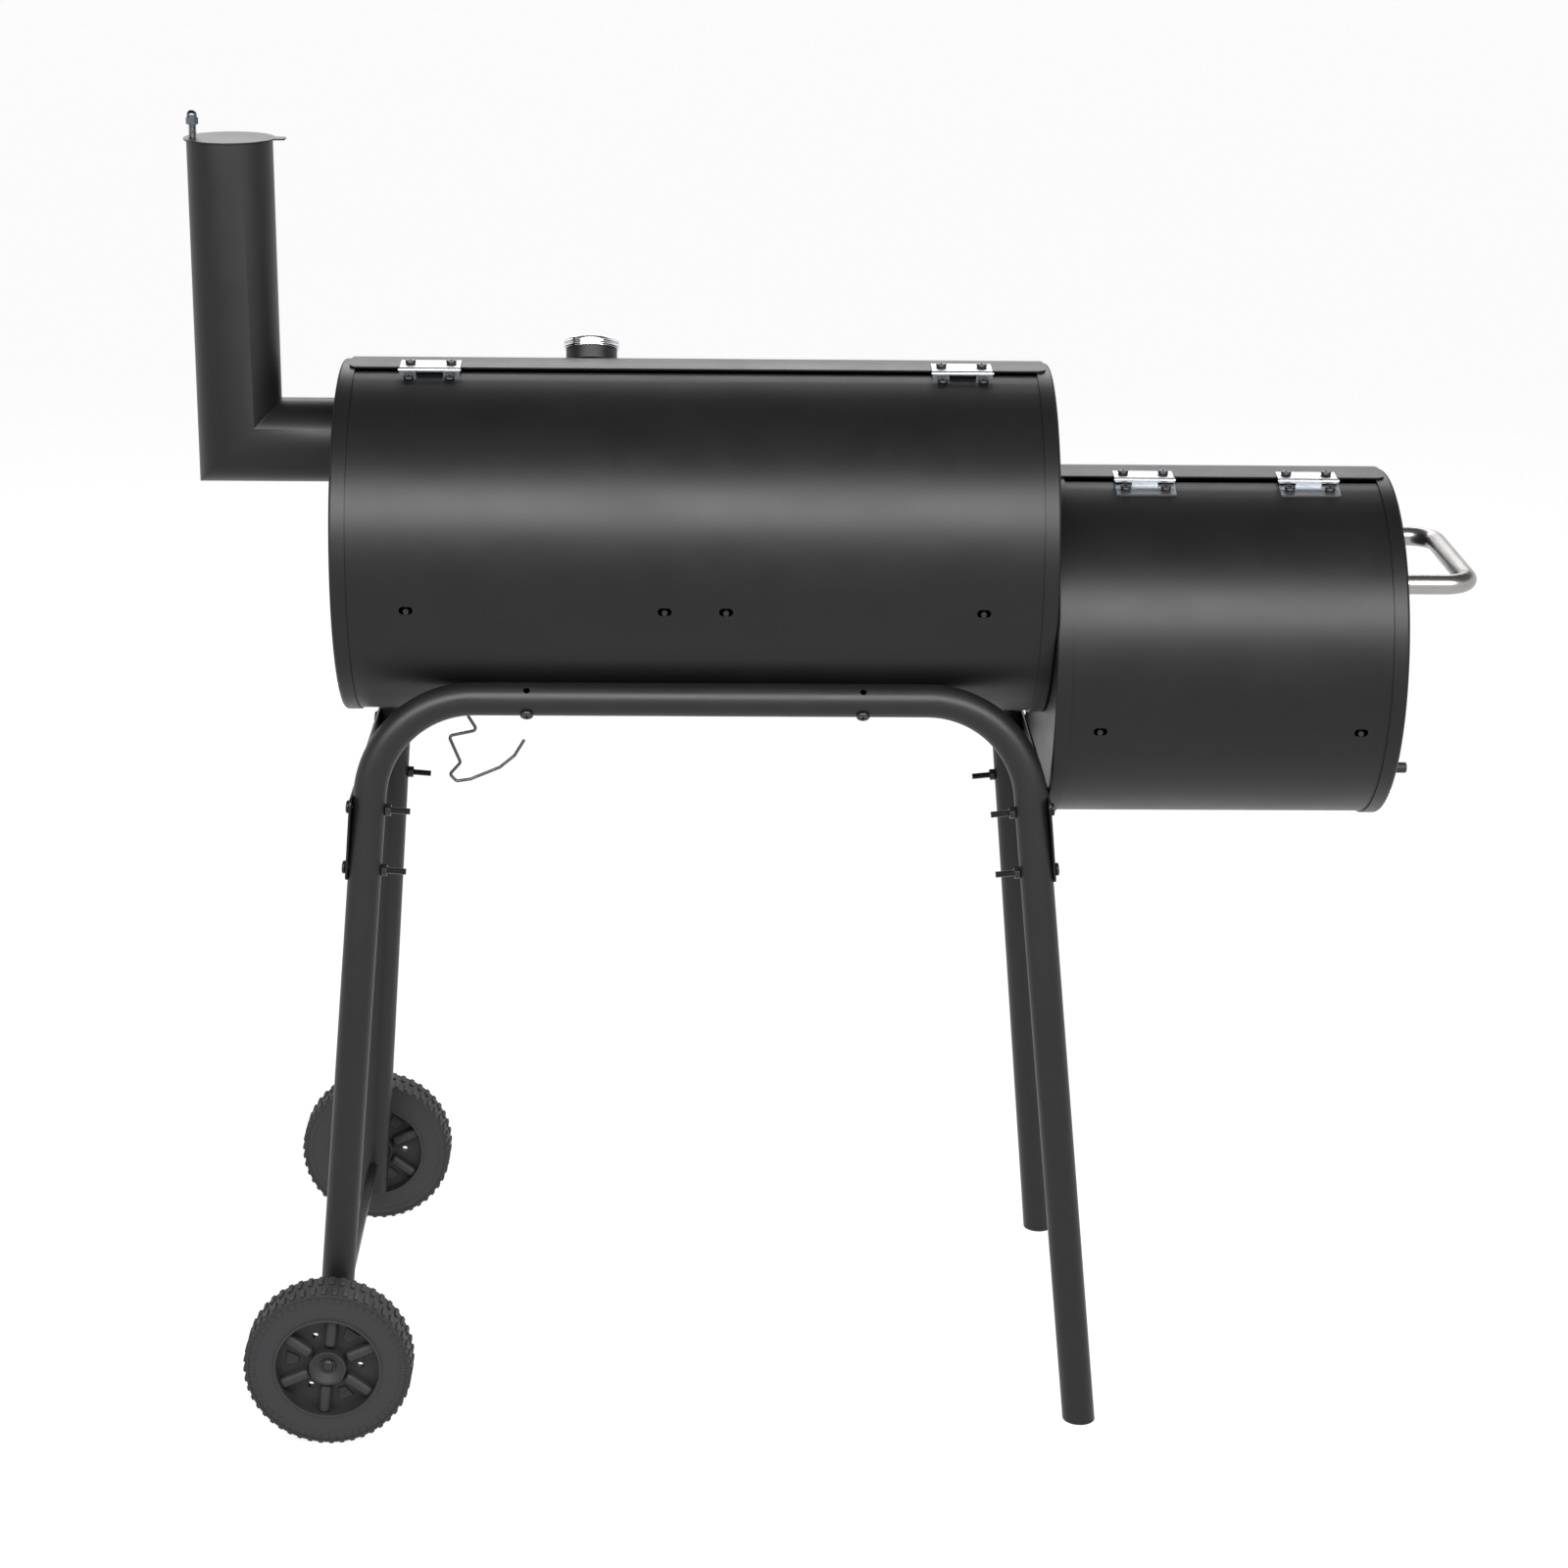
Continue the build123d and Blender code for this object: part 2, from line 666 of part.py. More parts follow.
with BuildPart() as barrel_cap_firebox:
    end_cap(barrel_end_firebox, 1, barrel_z, barrel_radius)
    window(barrel_end_firebox, 2 * sheet)
    for y, z in flange_bolts_at:
        rod((barrel_end_firebox, y, z), (1, 0, 0), bolt_radius, 2 * sheet, mode=Mode.SUBTRACT)
barrel_cap_firebox.part.label = "barrel_cap_firebox"
export_step(barrel_cap_firebox.part, "parts/barrel_cap_firebox.step")

# ---------------------------------------------------------------- firebox
with BuildPart() as firebox_shell:
    drum_shell(
        firebox_end + sheet, firebox_length - 2 * sheet, firebox_z, firebox_radius, firebox_shell_rear
    )
    grate_slots(firebox_slots, firebox_slot_z, firebox_radius)
    hinge_screw_holes(FIREBOX_HINGES, firebox_radius, FIREBOX_HINGES.lower_screw)
firebox_shell.part.label = "firebox_shell"
export_step(firebox_shell.part, "parts/firebox_shell.step")

with BuildPart() as firebox_cap_inner:
    end_cap(barrel_end_firebox, -1, firebox_z, firebox_radius)
    window(barrel_end_firebox, 2 * sheet)
    for y, z in flange_bolts_at:
        rod((barrel_end_firebox, y, z), (-1, 0, 0), bolt_radius, 2 * sheet, mode=Mode.SUBTRACT)
firebox_cap_inner.part.label = "firebox_cap_inner"
export_step(firebox_cap_inner.part, "parts/firebox_cap_inner.step")

with BuildPart() as firebox_cap_outer:
    end_cap(firebox_end, 1, firebox_z, firebox_radius)
    rod((firebox_end, 0, air_z), (1, 0, 0), air_pivot_radius, 2 * sheet, mode=Mode.SUBTRACT)
    with Locations(Plane(origin=(firebox_end, 0, air_z), x_dir=(0, 1, 0), z_dir=(1, 0, 0))):
        with PolarLocations(air_hole_circle, air_holes, start_angle=90):
            Cylinder(air_hole_radius, 4 * sheet, mode=Mode.SUBTRACT)
    for end in (-1, 1):
        foot = (firebox_end, end * end_handle_span / 2, firebox_z + end_handle_rise)
        rod(foot, (1, 0, 0), handle_screw_radius, 2 * sheet, mode=Mode.SUBTRACT)
firebox_cap_outer.part.label = "firebox_cap_outer"
export_step(firebox_cap_outer.part, "parts/firebox_cap_outer.step")

with BuildPart() as flange_bolts:
    for y, z in flange_bolts_at:
        round_screw(
            (barrel_end_firebox + sheet, y, z),
            (-1, 0, 0),
            bolt_head_radius,
            bolt_head_height,
            bolt_radius,
            2 * sheet + nut_height + 3,
        )
        nut_seat = (barrel_end_firebox - sheet, y, z)
        hex_nut(nut_seat, (-1, 0, 0), nut_flats, nut_height, bolt_radius + running_fit)
flange_bolts.part.label = "flange_bolts"
export_step(flange_bolts.part, "parts/flange_bolts.step")

# ---------------------------------------------------------------- chimney and its damper
with BuildPart() as chimney_stack:
    pipe_start = (barrel_end_chimney - sheet - chimney_inset, 0, pipe_z)
    for radius, mode in ((chimney_radius, Mode.ADD), (chimney_radius - sheet, Mode.SUBTRACT)):
        with BuildLine() as pipe_route:
            Polyline(pipe_start, (chimney_x, 0, pipe_z), (chimney_x, 0, chimney_top))
        with BuildSketch(Plane(origin=pipe_start, z_dir=(1, 0, 0))) as pipe_section:
            Circle(radius)
        sweep(pipe_section.sketch, path=pipe_route.line, transition=Transition.RIGHT, mode=mode)
chimney_stack.part.label = "chimney_stack"
export_step(chimney_stack.part, "parts/chimney_stack.step")

pivot_x = chimney_x + pivot_offset
damper_z = chimney_top + clearance
spring_z = damper_z + sheet + clearance
acorn_z = spring_z + spring_length

with BuildPart() as damper_lug:
    lug_z = chimney_top - lug_depth
    with BuildSketch(Plane.XY.offset(lug_z)):
        with Locations((chimney_x, 0)):
            Circle(chimney_radius - sheet)
        with Locations((pivot_x + chimney_radius / 2, 0)):
            Rectangle(chimney_radius + 16, 14, mode=Mode.INTERSECT)
    extrude(amount=2 * sheet)
    rod((pivot_x, 0, lug_z), (0, 0, 1), pivot_radius, acorn_z + acorn_hex - lug_z)
damper_lug.part.label = "damper_lug"
export_step(damper_lug.part, "parts/damper_lug.step")

with BuildPart() as damper_spring:
    spring_pitch = (spring_length - 2 * spring_wire - 0.2) / spring_turns
    spring_start = spring_z + spring_wire + 0.1
    with BuildLine() as coil:
        Helix(
            spring_pitch,
            spring_pitch * spring_turns,
            spring_radius,
            center=(pivot_x, 0, spring_start),
        )
    with BuildSketch(Plane(origin=coil.line @ 0, z_dir=coil.line % 0)):
        Circle(spring_wire)
    sweep(path=coil.line, is_frenet=True)
damper_spring.part.label = "damper_spring"
export_step(damper_spring.part, "parts/damper_spring.step")

with BuildPart() as damper_acorn_nut:
    hex_nut((pivot_x, 0, acorn_z), (0, 0, 1), acorn_flats, acorn_hex, pivot_radius + running_fit)
    rod((pivot_x, 0, acorn_z + acorn_hex), (0, 0, 1), acorn_dome, acorn_height - acorn_hex)
    fillet(damper_acorn_nut.edges().group_by(Axis.Z)[-1], radius=acorn_dome * 0.94)
damper_acorn_nut.part.label = "damper_acorn_nut"
export_step(damper_acorn_nut.part, "parts/damper_acorn_nut.step")

with BuildPart() as chimney_damper:
    with BuildSketch(Plane.XY.offset(damper_z)):
        with Locations((chimney_x, 0)):
            Circle(damper_radius)
        with Locations((chimney_x - damper_tab_reach / 2, 0)):
            Rectangle(damper_tab_reach, damper_tab_width)
        with Locations((pivot_x, 0)):
            Circle(pivot_radius + running_fit, mode=Mode.SUBTRACT)
    extrude(amount=sheet)
    tab_corners = chimney_damper.edges().filter_by(Axis.Z).group_by(Axis.X)[0]
    fillet(tab_corners, radius=damper_tab_width / 4)
chimney_damper.part.label = "chimney_damper"
export_step(chimney_damper.part, "parts/chimney_damper.step")

# ---------------------------------------------------------------- frame
for side_name, side in SIDES:
    for end_name, direction, corner, end, end_z in LEGS:
        leg_end = -(rail_z - end_z) / cos(leg_tilt)
        past_floor = 0.0 if end_z > 0 else tube_radius
        slope = (end - corner) / (rail_z - end_z)
        last_x = direction * (end + slope * past_floor)
        with BuildPart() as frame_tube:
            for radius, mode in ((tube_radius, Mode.ADD), (tube_radius - tube_wall, Mode.SUBTRACT)):
                with BuildLine(frame_plane(side)) as tube_route:
                    FilletPolyline(
                        (0, 0),
                        (direction * corner, 0),
                        (last_x, leg_end - past_floor / cos(leg_tilt)),
                        radius=bend_radius,
                    )
                with BuildSketch(Plane(origin=tube_route.line @ 0, z_dir=(direction, 0, 0))) as ring:
                    Circle(radius)
                sweep(ring.sketch, path=tube_route.line, mode=mode)
            split(bisect_by=Plane.XY, keep=Keep.TOP)
            for bolt_side, point, out in rail_bolt_places():
                if bolt_side == side and (point.X - barrel_x) * direction > 0:
                    start = point - out * tube_radius * 2
                    rod(start, out, bolt_radius, 4 * tube_radius, mode=Mode.SUBTRACT)
                    spare = Vector(0, side * -rail_out.Z, rail_out.Y)
                    rod(point, spare, bolt_radius, 2 * tube_radius, mode=Mode.SUBTRACT)
            for bolt_direction, point, out in strap_bolt_places(side):
                if bolt_direction == direction:
                    start = point - out * tube_radius * 2
                    rod(start, out, bolt_radius, 4 * tube_radius, mode=Mode.SUBTRACT)
            if end_name == "wheel":
                axle_at = leg_point(side, direction, corner, end, end_z, axle_z)
                start = (axle_at.X, axle_at.Y - 2 * tube_radius, axle_z)
                rod(start, (0, 1, 0), axle_radius, 4 * tube_radius, mode=Mode.SUBTRACT)
        node = f"frame_tube_{side_name}_{end_name}"
        frame_tube.part.label = node
        export_step(frame_tube.part, f"parts/{node}.step")

axle_x = leg_point(1, *LEGS[1][1:], axle_z).X

with BuildPart() as tube_joiners:
    for _, side in SIDES:
        start = (barrel_x - joiner_length / 2, side * rail_y, rail_z)
        rod(start, (1, 0, 0), tube_radius - tube_wall, joiner_length)
        rod(start, (1, 0, 0), tube_radius - 2 * tube_wall, joiner_length, mode=Mode.SUBTRACT)
tube_joiners.part.label = "tube_joiners"
export_step(tube_joiners.part, "parts/tube_joiners.step")

with BuildPart() as foot_plugs:
    for _, side in SIDES:
        _, direction, corner, end, end_z = LEGS[0]
        top = leg_point(side, direction, corner, end, end_z, plug_height)
        foot = leg_point(side, direction, corner, end, end_z, 0)
        down = (foot - top).normalized()
        rod(top, down, tube_radius - tube_wall, plug_height * 2)
    split(bisect_by=Plane.XY, keep=Keep.TOP)
foot_plugs.part.label = "foot_plugs"
export_step(foot_plugs.part, "parts/foot_plugs.step")

for end_name, direction, corner, end, end_z in LEGS:
    middle = leg_point(1, direction, corner, end, end_z, strap_z)
    out = leg_outward(direction, corner, end, end_z)
    face = Vector(middle.X, 0, strap_z) + out * tube_radius
    with BuildPart() as strap:
        with BuildSketch(Plane(origin=face, x_dir=(0, 1, 0), z_dir=out)):
            RectangleRounded(2 * (middle.Y + strap_edge), strap_height, strap_corner)
        extrude(amount=strap_thickness)
        # The foot strap's top edge curves round the underside of the firebox.
        rod(
            (barrel_end_firebox + strap_relief, 0, firebox_z),
            (-1, 0, 0),
            firebox_cap_radius + strap_relief,
            firebox_length,
            mode=Mode.SUBTRACT,
        )
        for _, side in SIDES:
            for bolt_direction, point, bolt_out in strap_bolt_places(side):
                if bolt_direction == direction:
                    rod(point, bolt_out, bolt_radius, 2 * tube_radius, mode=Mode.SUBTRACT)
    node = f"strap_{end_name}"
    strap.part.label = node
    export_step(strap.part, f"parts/{node}.step")

with BuildPart() as strap_bolts:
    for _, side in SIDES:
        for _, point, out in strap_bolt_places(side):
            seat = point + out * (tube_radius + strap_thickness)
            length = strap_thickness + 2 * tube_radius + nut_height + strap_thread_past_nut
            round_screw(seat, -out, bolt_head_radius, bolt_head_height, bolt_radius, length)
strap_bolts.part.label = "strap_bolts"
export_step(strap_bolts.part, "parts/strap_bolts.step")

with BuildPart() as strap_nuts:
    for _, side in SIDES:
        for _, point, out in strap_bolt_places(side):
            nut_seat = point - out * tube_radius
            hex_nut(nut_seat, -out, nut_flats, nut_height, bolt_radius + running_fit)
strap_nuts.part.label = "strap_nuts"
export_step(strap_nuts.part, "parts/strap_nuts.step")

with BuildPart() as barrel_bolts:
    for _, point, out in rail_bolt_places():
        length = 2 * tube_radius + sheet + nut_seat_gap + nut_height + 4
        seat = point + out * tube_radius
        round_screw(seat, -out, bolt_head_radius, bolt_head_height, bolt_radius, length)
barrel_bolts.part.label = "barrel_bolts"
export_step(barrel_bolts.part, "parts/barrel_bolts.step")

with BuildPart() as barrel_nuts:
    for _, point, out in rail_bolt_places():
        nut_seat = point - out * (tube_radius + sheet + nut_seat_gap)
        hex_nut(nut_seat, -out, nut_flats, nut_height, bolt_radius + running_fit)
barrel_nuts.part.label = "barrel_nuts"
export_step(barrel_nuts.part, "parts/barrel_nuts.step")

# ---------------------------------------------------------------- axle and wheels
wheel_y = wheel_track / 2
pocket_floor = wheel_width / 2 - wheel_boss_step - hub_pocket_depth
axle_end = wheel_y + pocket_floor + clearance + axle_nut_height + 0.5
leg_at_axle = leg_point(1, *LEGS[1][1:], axle_z - spacer_radius)
spacer_start = leg_at_axle.Y + tube_radius / cos(leg_tilt)

with BuildPart() as axle:
    rod((axle_x, -axle_end, axle_z), (0, 1, 0), axle_radius, 2 * axle_end)
    chamfer(axle.edges().filter_by(GeomType.CIRCLE), length=0.8)
axle.part.label = "axle"
export_step(axle.part, "parts/axle.step")

with BuildPart() as axle_nuts:
    for _, side in SIDES:
        seat = (axle_x, side * (wheel_y + pocket_floor + clearance), axle_z)
        hex_nut(seat, (0, side, 0), axle_nut_flats, axle_nut_height, axle_radius + running_fit)
axle_nuts.part.label = "axle_nuts"
export_step(axle_nuts.part, "parts/axle_nuts.step")

with BuildPart() as axle_spacers:
    for _, side in SIDES:
        start = (axle_x, side * spacer_start, axle_z)
        length = wheel_y - wheel_width / 2 - clearance - spacer_start
        rod(start, (0, side, 0), spacer_radius, length)
        rod(start, (0, side, 0), axle_radius + running_fit, length, mode=Mode.SUBTRACT)
axle_spacers.part.label = "axle_spacers"
export_step(axle_spacers.part, "parts/axle_spacers.step")

for side_name, side in SIDES:
    hub = Plane(origin=(axle_x, side * wheel_y, axle_z), x_dir=(1, 0, 0), z_dir=(0, side, 0))
    section_plane = Plane(origin=hub.origin, x_dir=(1, 0, 0), z_dir=(0, 0, -side))
    half = wheel_width / 2
    with BuildPart() as wheel:
        with BuildSketch(section_plane) as wheel_profile:
            with Locations(((wheel_radius + wheel_recess_radius) / 2, 0)):
                RectangleRounded(wheel_radius - wheel_recess_radius, wheel_width, wheel_shoulder)
            with Locations((wheel_recess_radius / 2, 0)):
                Rectangle(wheel_recess_radius + 2 * wheel_shoulder, wheel_web)
            with Locations((wheel_boss_radius / 2, 0)):
                Rectangle(wheel_boss_radius, wheel_width - 2 * wheel_boss_step)
            with Locations((-wheel_recess_radius, 0)):
                Rectangle(2 * wheel_recess_radius, 2 * wheel_width, mode=Mode.SUBTRACT)
        revolve(axis=Axis(hub.origin, hub.z_dir))
        rib_length = wheel_recess_radius - wheel_boss_radius + 4
        with Locations(hub):
            with PolarLocations(wheel_boss_radius - 2 + rib_length / 2, rib_count, start_angle=30):
                Box(rib_length, rib_width, wheel_width - 2 * rib_step)
            with PolarLocations(drain_hole_circle, drain_holes, start_angle=180):
                Cylinder(drain_hole_radius, wheel_width, mode=Mode.SUBTRACT)
            Cylinder(axle_radius + running_fit, 2 * wheel_width, mode=Mode.SUBTRACT)
            for shoulder in (-1, 1):
                with Locations((0, 0, shoulder * (half - tread_notch_length / 2))):
                    with PolarLocations(wheel_radius, tread_notches):
                        Box(
                            2 * tread_notch_depth,
                            tread_notch_width,
                            tread_notch_length,
                            mode=Mode.SUBTRACT,
                        )
        pocket_start = hub.origin + hub.z_dir * pocket_floor
        rod(pocket_start, hub.z_dir, hub_pocket_radius, wheel_width, mode=Mode.SUBTRACT)
    node = f"wheel_{side_name}"
    wheel.part.label = node
    export_step(wheel.part, f"parts/{node}.step")

    with BuildPart() as wheel_cap:
        cap_outer = half - wheel_boss_step
        cap_start = hub.origin + hub.z_dir * (cap_outer - hub_cap_thickness)
        rod(cap_start, hub.z_dir, hub_pocket_radius, hub_cap_thickness)
        rod(cap_start, hub.z_dir, hub_cap_hole, hub_cap_thickness, mode=Mode.SUBTRACT)
    node = f"wheel_cap_{side_name}"
    wheel_cap.part.label = node
    export_step(wheel_cap.part, f"parts/{node}.step")

# ---------------------------------------------------------------- lids
with BuildPart() as main_lid:
    main_lid_start = barrel_end_firebox + main_lid_margin_firebox
    main_lid_length = barrel_length - main_lid_margin_firebox - main_lid_margin_chimney
    lid_panel(main_lid_start, main_lid_length, barrel_z, lid_inner, main_lid_rear)
    hinge_screw_holes(MAIN_HINGES, lid_outer, MAIN_HINGES.upper_screw)
    rod(gauge_seat + gauge_out, -gauge_out, gauge_stem_radius, 4 * sheet, mode=Mode.SUBTRACT)
    for end in (-1, 1):
        foot = (barrel_x + end * main_handle_span / 2, -lid_outer - 1, barrel_z)
        rod(foot, (0, 1, 0), handle_screw_radius, 4 * sheet, mode=Mode.SUBTRACT)
main_lid.part.label = "main_lid"
export_step(main_lid.part, "parts/main_lid.step")

with BuildPart() as firebox_lid:
    firebox_lid_length = firebox_length - 2 * firebox_lid_margin
    lid_panel(
        firebox_end + firebox_lid_margin,
        firebox_lid_length,
        firebox_z,
        firebox_lid_inner,
        firebox_lid_rear,
    )
    hinge_screw_holes(FIREBOX_HINGES, firebox_lid_outer, FIREBOX_HINGES.upper_screw)
    for end in (-1, 1):
        foot = (firebox_middle + end * firebox_handle_span / 2, -firebox_lid_outer - 1, firebox_z)
        rod(foot, (0, 1, 0), handle_screw_radius, 4 * sheet, mode=Mode.SUBTRACT)
firebox_lid.part.label = "firebox_lid"
export_step(firebox_lid.part, "parts/firebox_lid.step")

# ---------------------------------------------------------------- handles
with BuildPart() as main_lid_handle:
    bent_handle(lid_handle_base, (0, -1, 0), (1, 0, 0), main_handle_span, lid_handle_reach)
main_lid_handle.part.label = "main_lid_handle"
export_step(main_lid_handle.part, "parts/main_lid_handle.step")

with BuildPart() as main_handle_screws:
    handle_screws(lid_handle_base, (0, -1, 0), (1, 0, 0), main_handle_span)
main_handle_screws.part.label = "main_handle_screws"
export_step(main_handle_screws.part, "parts/main_handle_screws.step")

with BuildPart() as firebox_lid_handle:
    bent_handle(firebox_handle_base, (0, -1, 0), (1, 0, 0), firebox_handle_span, lid_handle_reach)
firebox_lid_handle.part.label = "firebox_lid_handle"
export_step(firebox_lid_handle.part, "parts/firebox_lid_handle.step")

with BuildPart() as firebox_handle_screws:
    handle_screws(firebox_handle_base, (0, -1, 0), (1, 0, 0), firebox_handle_span)
firebox_handle_screws.part.label = "firebox_handle_screws"
export_step(firebox_handle_screws.part, "parts/firebox_handle_screws.step")

with BuildPart() as firebox_end_handle:
    bent_handle(end_handle_base, (-1, 0, 0), (0, 1, 0), end_handle_span, end_handle_reach)
firebox_end_handle.part.label = "firebox_end_handle"
export_step(firebox_end_handle.part, "parts/firebox_end_handle.step")

with BuildPart() as end_handle_screws:
    handle_screws(end_handle_base, (-1, 0, 0), (0, 1, 0), end_handle_span)
end_handle_screws.part.label = "end_handle_screws"
export_step(end_handle_screws.part, "parts/end_handle_screws.step")

# ---------------------------------------------------------------- hinges
with BuildPart() as hinge_fixed_leaves:
    for row in HINGE_ROWS:
        for centre_x in row.centres:
            fixed_leaf(row, centre_x)
        hinge_screw_holes(row, row.lower_seat, row.lower_screw)
hinge_fixed_leaves.part.label = "hinge_fixed_leaves"
export_step(hinge_fixed_leaves.part, "parts/hinge_fixed_leaves.step")

with BuildPart() as hinge_pins:
    for row in HINGE_ROWS:
        for centre_x in row.centres:
            half_pin = hinge_width / 2 + 1
            rod((centre_x - half_pin, *row.pin()), (1, 0, 0), hinge_pin_radius, 2 * half_pin)
hinge_pins.part.label = "hinge_pins"
export_step(hinge_pins.part, "parts/hinge_pins.step")

with BuildPart() as fixed_leaf_screws:
    for row in HINGE_ROWS:
        hinge_screws(row, row.lower_seat, row.lower_screw, lower_screw_length)
fixed_leaf_screws.part.label = "fixed_leaf_screws"
export_step(fixed_leaf_screws.part, "parts/fixed_leaf_screws.step")

with BuildPart() as main_lid_leaves:
    for centre_x in main_hinges:
        moving_leaf(MAIN_HINGES, centre_x)
    hinge_screw_holes(MAIN_HINGES, lid_outer, MAIN_HINGES.upper_screw)
main_lid_leaves.part.label = "main_lid_leaves"
export_step(main_lid_leaves.part, "parts/main_lid_leaves.step")

with BuildPart() as main_leaf_screws:
    seat_radius = lid_outer + hinge_leaf
    hinge_screws(MAIN_HINGES, seat_radius, MAIN_HINGES.upper_screw, upper_screw_length)
main_leaf_screws.part.label = "main_leaf_screws"
export_step(main_leaf_screws.part, "parts/main_leaf_screws.step")

with BuildPart() as firebox_lid_leaves:
    for centre_x in firebox_hinges:
        moving_leaf(FIREBOX_HINGES, centre_x)
    hinge_screw_holes(FIREBOX_HINGES, firebox_lid_outer, FIREBOX_HINGES.upper_screw)
firebox_lid_leaves.part.label = "firebox_lid_leaves"
export_step(firebox_lid_leaves.part, "parts/firebox_lid_leaves.step")

with BuildPart() as firebox_leaf_screws:
    seat_radius = firebox_lid_outer + hinge_leaf
    hinge_screws(FIREBOX_HINGES, seat_radius, FIREBOX_HINGES.upper_screw, upper_screw_length)
firebox_leaf_screws.part.label = "firebox_leaf_screws"
export_step(firebox_leaf_screws.part, "parts/firebox_leaf_screws.step")

# ---------------------------------------------------------------- temperature gauge
gauge_inside = gauge_body_radius - gauge_wall
dial_height = gauge_body_height - 3.5
needle_height = dial_height + dial_thickness + clearance
glass_height = gauge_body_height
bezel_height = gauge_height - gauge_bezel_height


def on_gauge(height):
    """The point on the gauge's axis at a height above the lid."""
    return gauge_seat + gauge_out * height


with BuildPart() as gauge_body:
    rod(on_gauge(0), gauge_out, gauge_body_radius, gauge_body_height)
    rod(on_gauge(gauge_wall), gauge_out, gauge_inside, gauge_body_height, mode=Mode.SUBTRACT)
    rod(on_gauge(gauge_wall / 2), -gauge_out, gauge_stem_radius, gauge_stem_length)
    pin_top = needle_height + needle_thickness + clearance
    rod(on_gauge(gauge_wall / 2), gauge_out, gauge_pin_radius, pin_top - gauge_wall / 2)
gauge_body.part.label = "gauge_body"
export_step(gauge_body.part, "parts/gauge_body.step")

with BuildPart() as gauge_dial:
    rod(on_gauge(dial_height), gauge_out, gauge_inside, dial_thickness)
    rod(on_gauge(dial_height), gauge_out, gauge_pin_radius, dial_thickness, mode=Mode.SUBTRACT)
gauge_dial.part.label = "gauge_dial"
export_step(gauge_dial.part, "parts/gauge_dial.step")

with BuildPart() as gauge_needle:
    cold = Vector(1, 0, 0).rotate(Axis((0, 0, 0), gauge_out), needle_cold_angle)
    with BuildSketch(Plane(origin=on_gauge(needle_height), x_dir=cold, z_dir=gauge_out)):
        with BuildLine():
            Polyline(
                (-needle_tail, -1.2),
                (needle_length, -0.3),
                (needle_length, 0.3),
                (-needle_tail, 1.2),
                close=True,
            )
        make_face()
        Circle(needle_hub)
        Circle(gauge_pin_radius + running_fit, mode=Mode.SUBTRACT)
    extrude(amount=needle_thickness)
gauge_needle.part.label = "gauge_needle"
export_step(gauge_needle.part, "parts/gauge_needle.step")

with BuildPart() as gauge_glass:
    rod(on_gauge(glass_height), gauge_out, gauge_bezel_radius - gauge_wall, glass_thickness)
gauge_glass.part.label = "gauge_glass"
export_step(gauge_glass.part, "parts/gauge_glass.step")

with BuildPart() as gauge_bezel:
    rod(on_gauge(bezel_height), gauge_out, gauge_bezel_radius, gauge_bezel_height)
    ring_edges = gauge_bezel.edges().filter_by(GeomType.CIRCLE)
    fillet(ring_edges.sort_by_distance(Vertex(*on_gauge(gauge_height)))[:1], radius=2)
    inside = gauge_bezel_radius - gauge_wall
    rod(on_gauge(glass_height), gauge_out, inside, glass_thickness, mode=Mode.SUBTRACT)
    rod(on_gauge(0), gauge_out, gauge_body_radius, gauge_body_height, mode=Mode.SUBTRACT)
    rod(on_gauge(0), gauge_out, gauge_bezel_radius - gauge_lip, 2 * gauge_height, mode=Mode.SUBTRACT)
gauge_bezel.part.label = "gauge_bezel"
export_step(gauge_bezel.part, "parts/gauge_bezel.step")

with BuildPart() as gauge_nut:
    seat = on_gauge(-sheet - 2 * nut_seat_gap)
    hex_nut(seat, -gauge_out, gauge_nut_flats, nut_height, gauge_stem_radius + running_fit)
gauge_nut.part.label = "gauge_nut"
export_step(gauge_nut.part, "parts/gauge_nut.step")

# ---------------------------------------------------------------- grates
for end_name, direction in (("chimney", 1), ("firebox", -1)):
    with BuildPart() as cooking_grate:
        grate(
            [barrel_x + direction * reach for reach in (grate_slot_near, grate_slot_far)],
            barrel_x + direction * grate_near_end,
            barrel_x + direction * grate_far_end,
            main_slot_z,
            barrel_z,
            barrel_radius,
        )
    node = f"cooking_grate_{end_name}"
    cooking_grate.part.label = node
    export_step(cooking_grate.part, f"parts/{node}.step")

with BuildPart() as firebox_grate:
    grate(
        firebox_slots,
        barrel_end_firebox - firebox_grate_margin,
        firebox_end + firebox_grate_margin,
        firebox_slot_z,
        firebox_z,
        firebox_radius,
    )
firebox_grate.part.label = "firebox_grate"
export_step(firebox_grate.part, "parts/firebox_grate.step")

# ---------------------------------------------------------------- air damper
air_face = firebox_end - clearance
air_outer = air_face - sheet

with BuildPart() as air_damper:
    rod((air_face, 0, air_z), (-1, 0, 0), air_damper_radius, sheet)
    rod((air_face, 0, air_z), (-1, 0, 0), air_pivot_radius + running_fit, sheet, mode=Mode.SUBTRACT)
    with Locations(Plane(origin=(air_face, 0, air_z), x_dir=(0, 1, 0), z_dir=(1, 0, 0))):
        with PolarLocations(air_hole_circle, air_holes, start_angle=30):
            Cylinder(air_hole_radius, 4 * sheet, mode=Mode.SUBTRACT)
air_damper.part.label = "air_damper"
export_step(air_damper.part, "parts/air_damper.step")

with BuildPart() as air_damper_knob:
    knob_y = air_knob_circle * cos(radians(air_knob_angle))
    knob_z = air_z - air_knob_circle * sin(radians(air_knob_angle))
    rod((air_outer, knob_y, knob_z), (-1, 0, 0), air_knob_radius, air_knob_length)
    fillet(air_damper_knob.edges().group_by(Axis.X)[0], radius=1.5)
air_damper_knob.part.label = "air_damper_knob"
export_step(air_damper_knob.part, "parts/air_damper_knob.step")

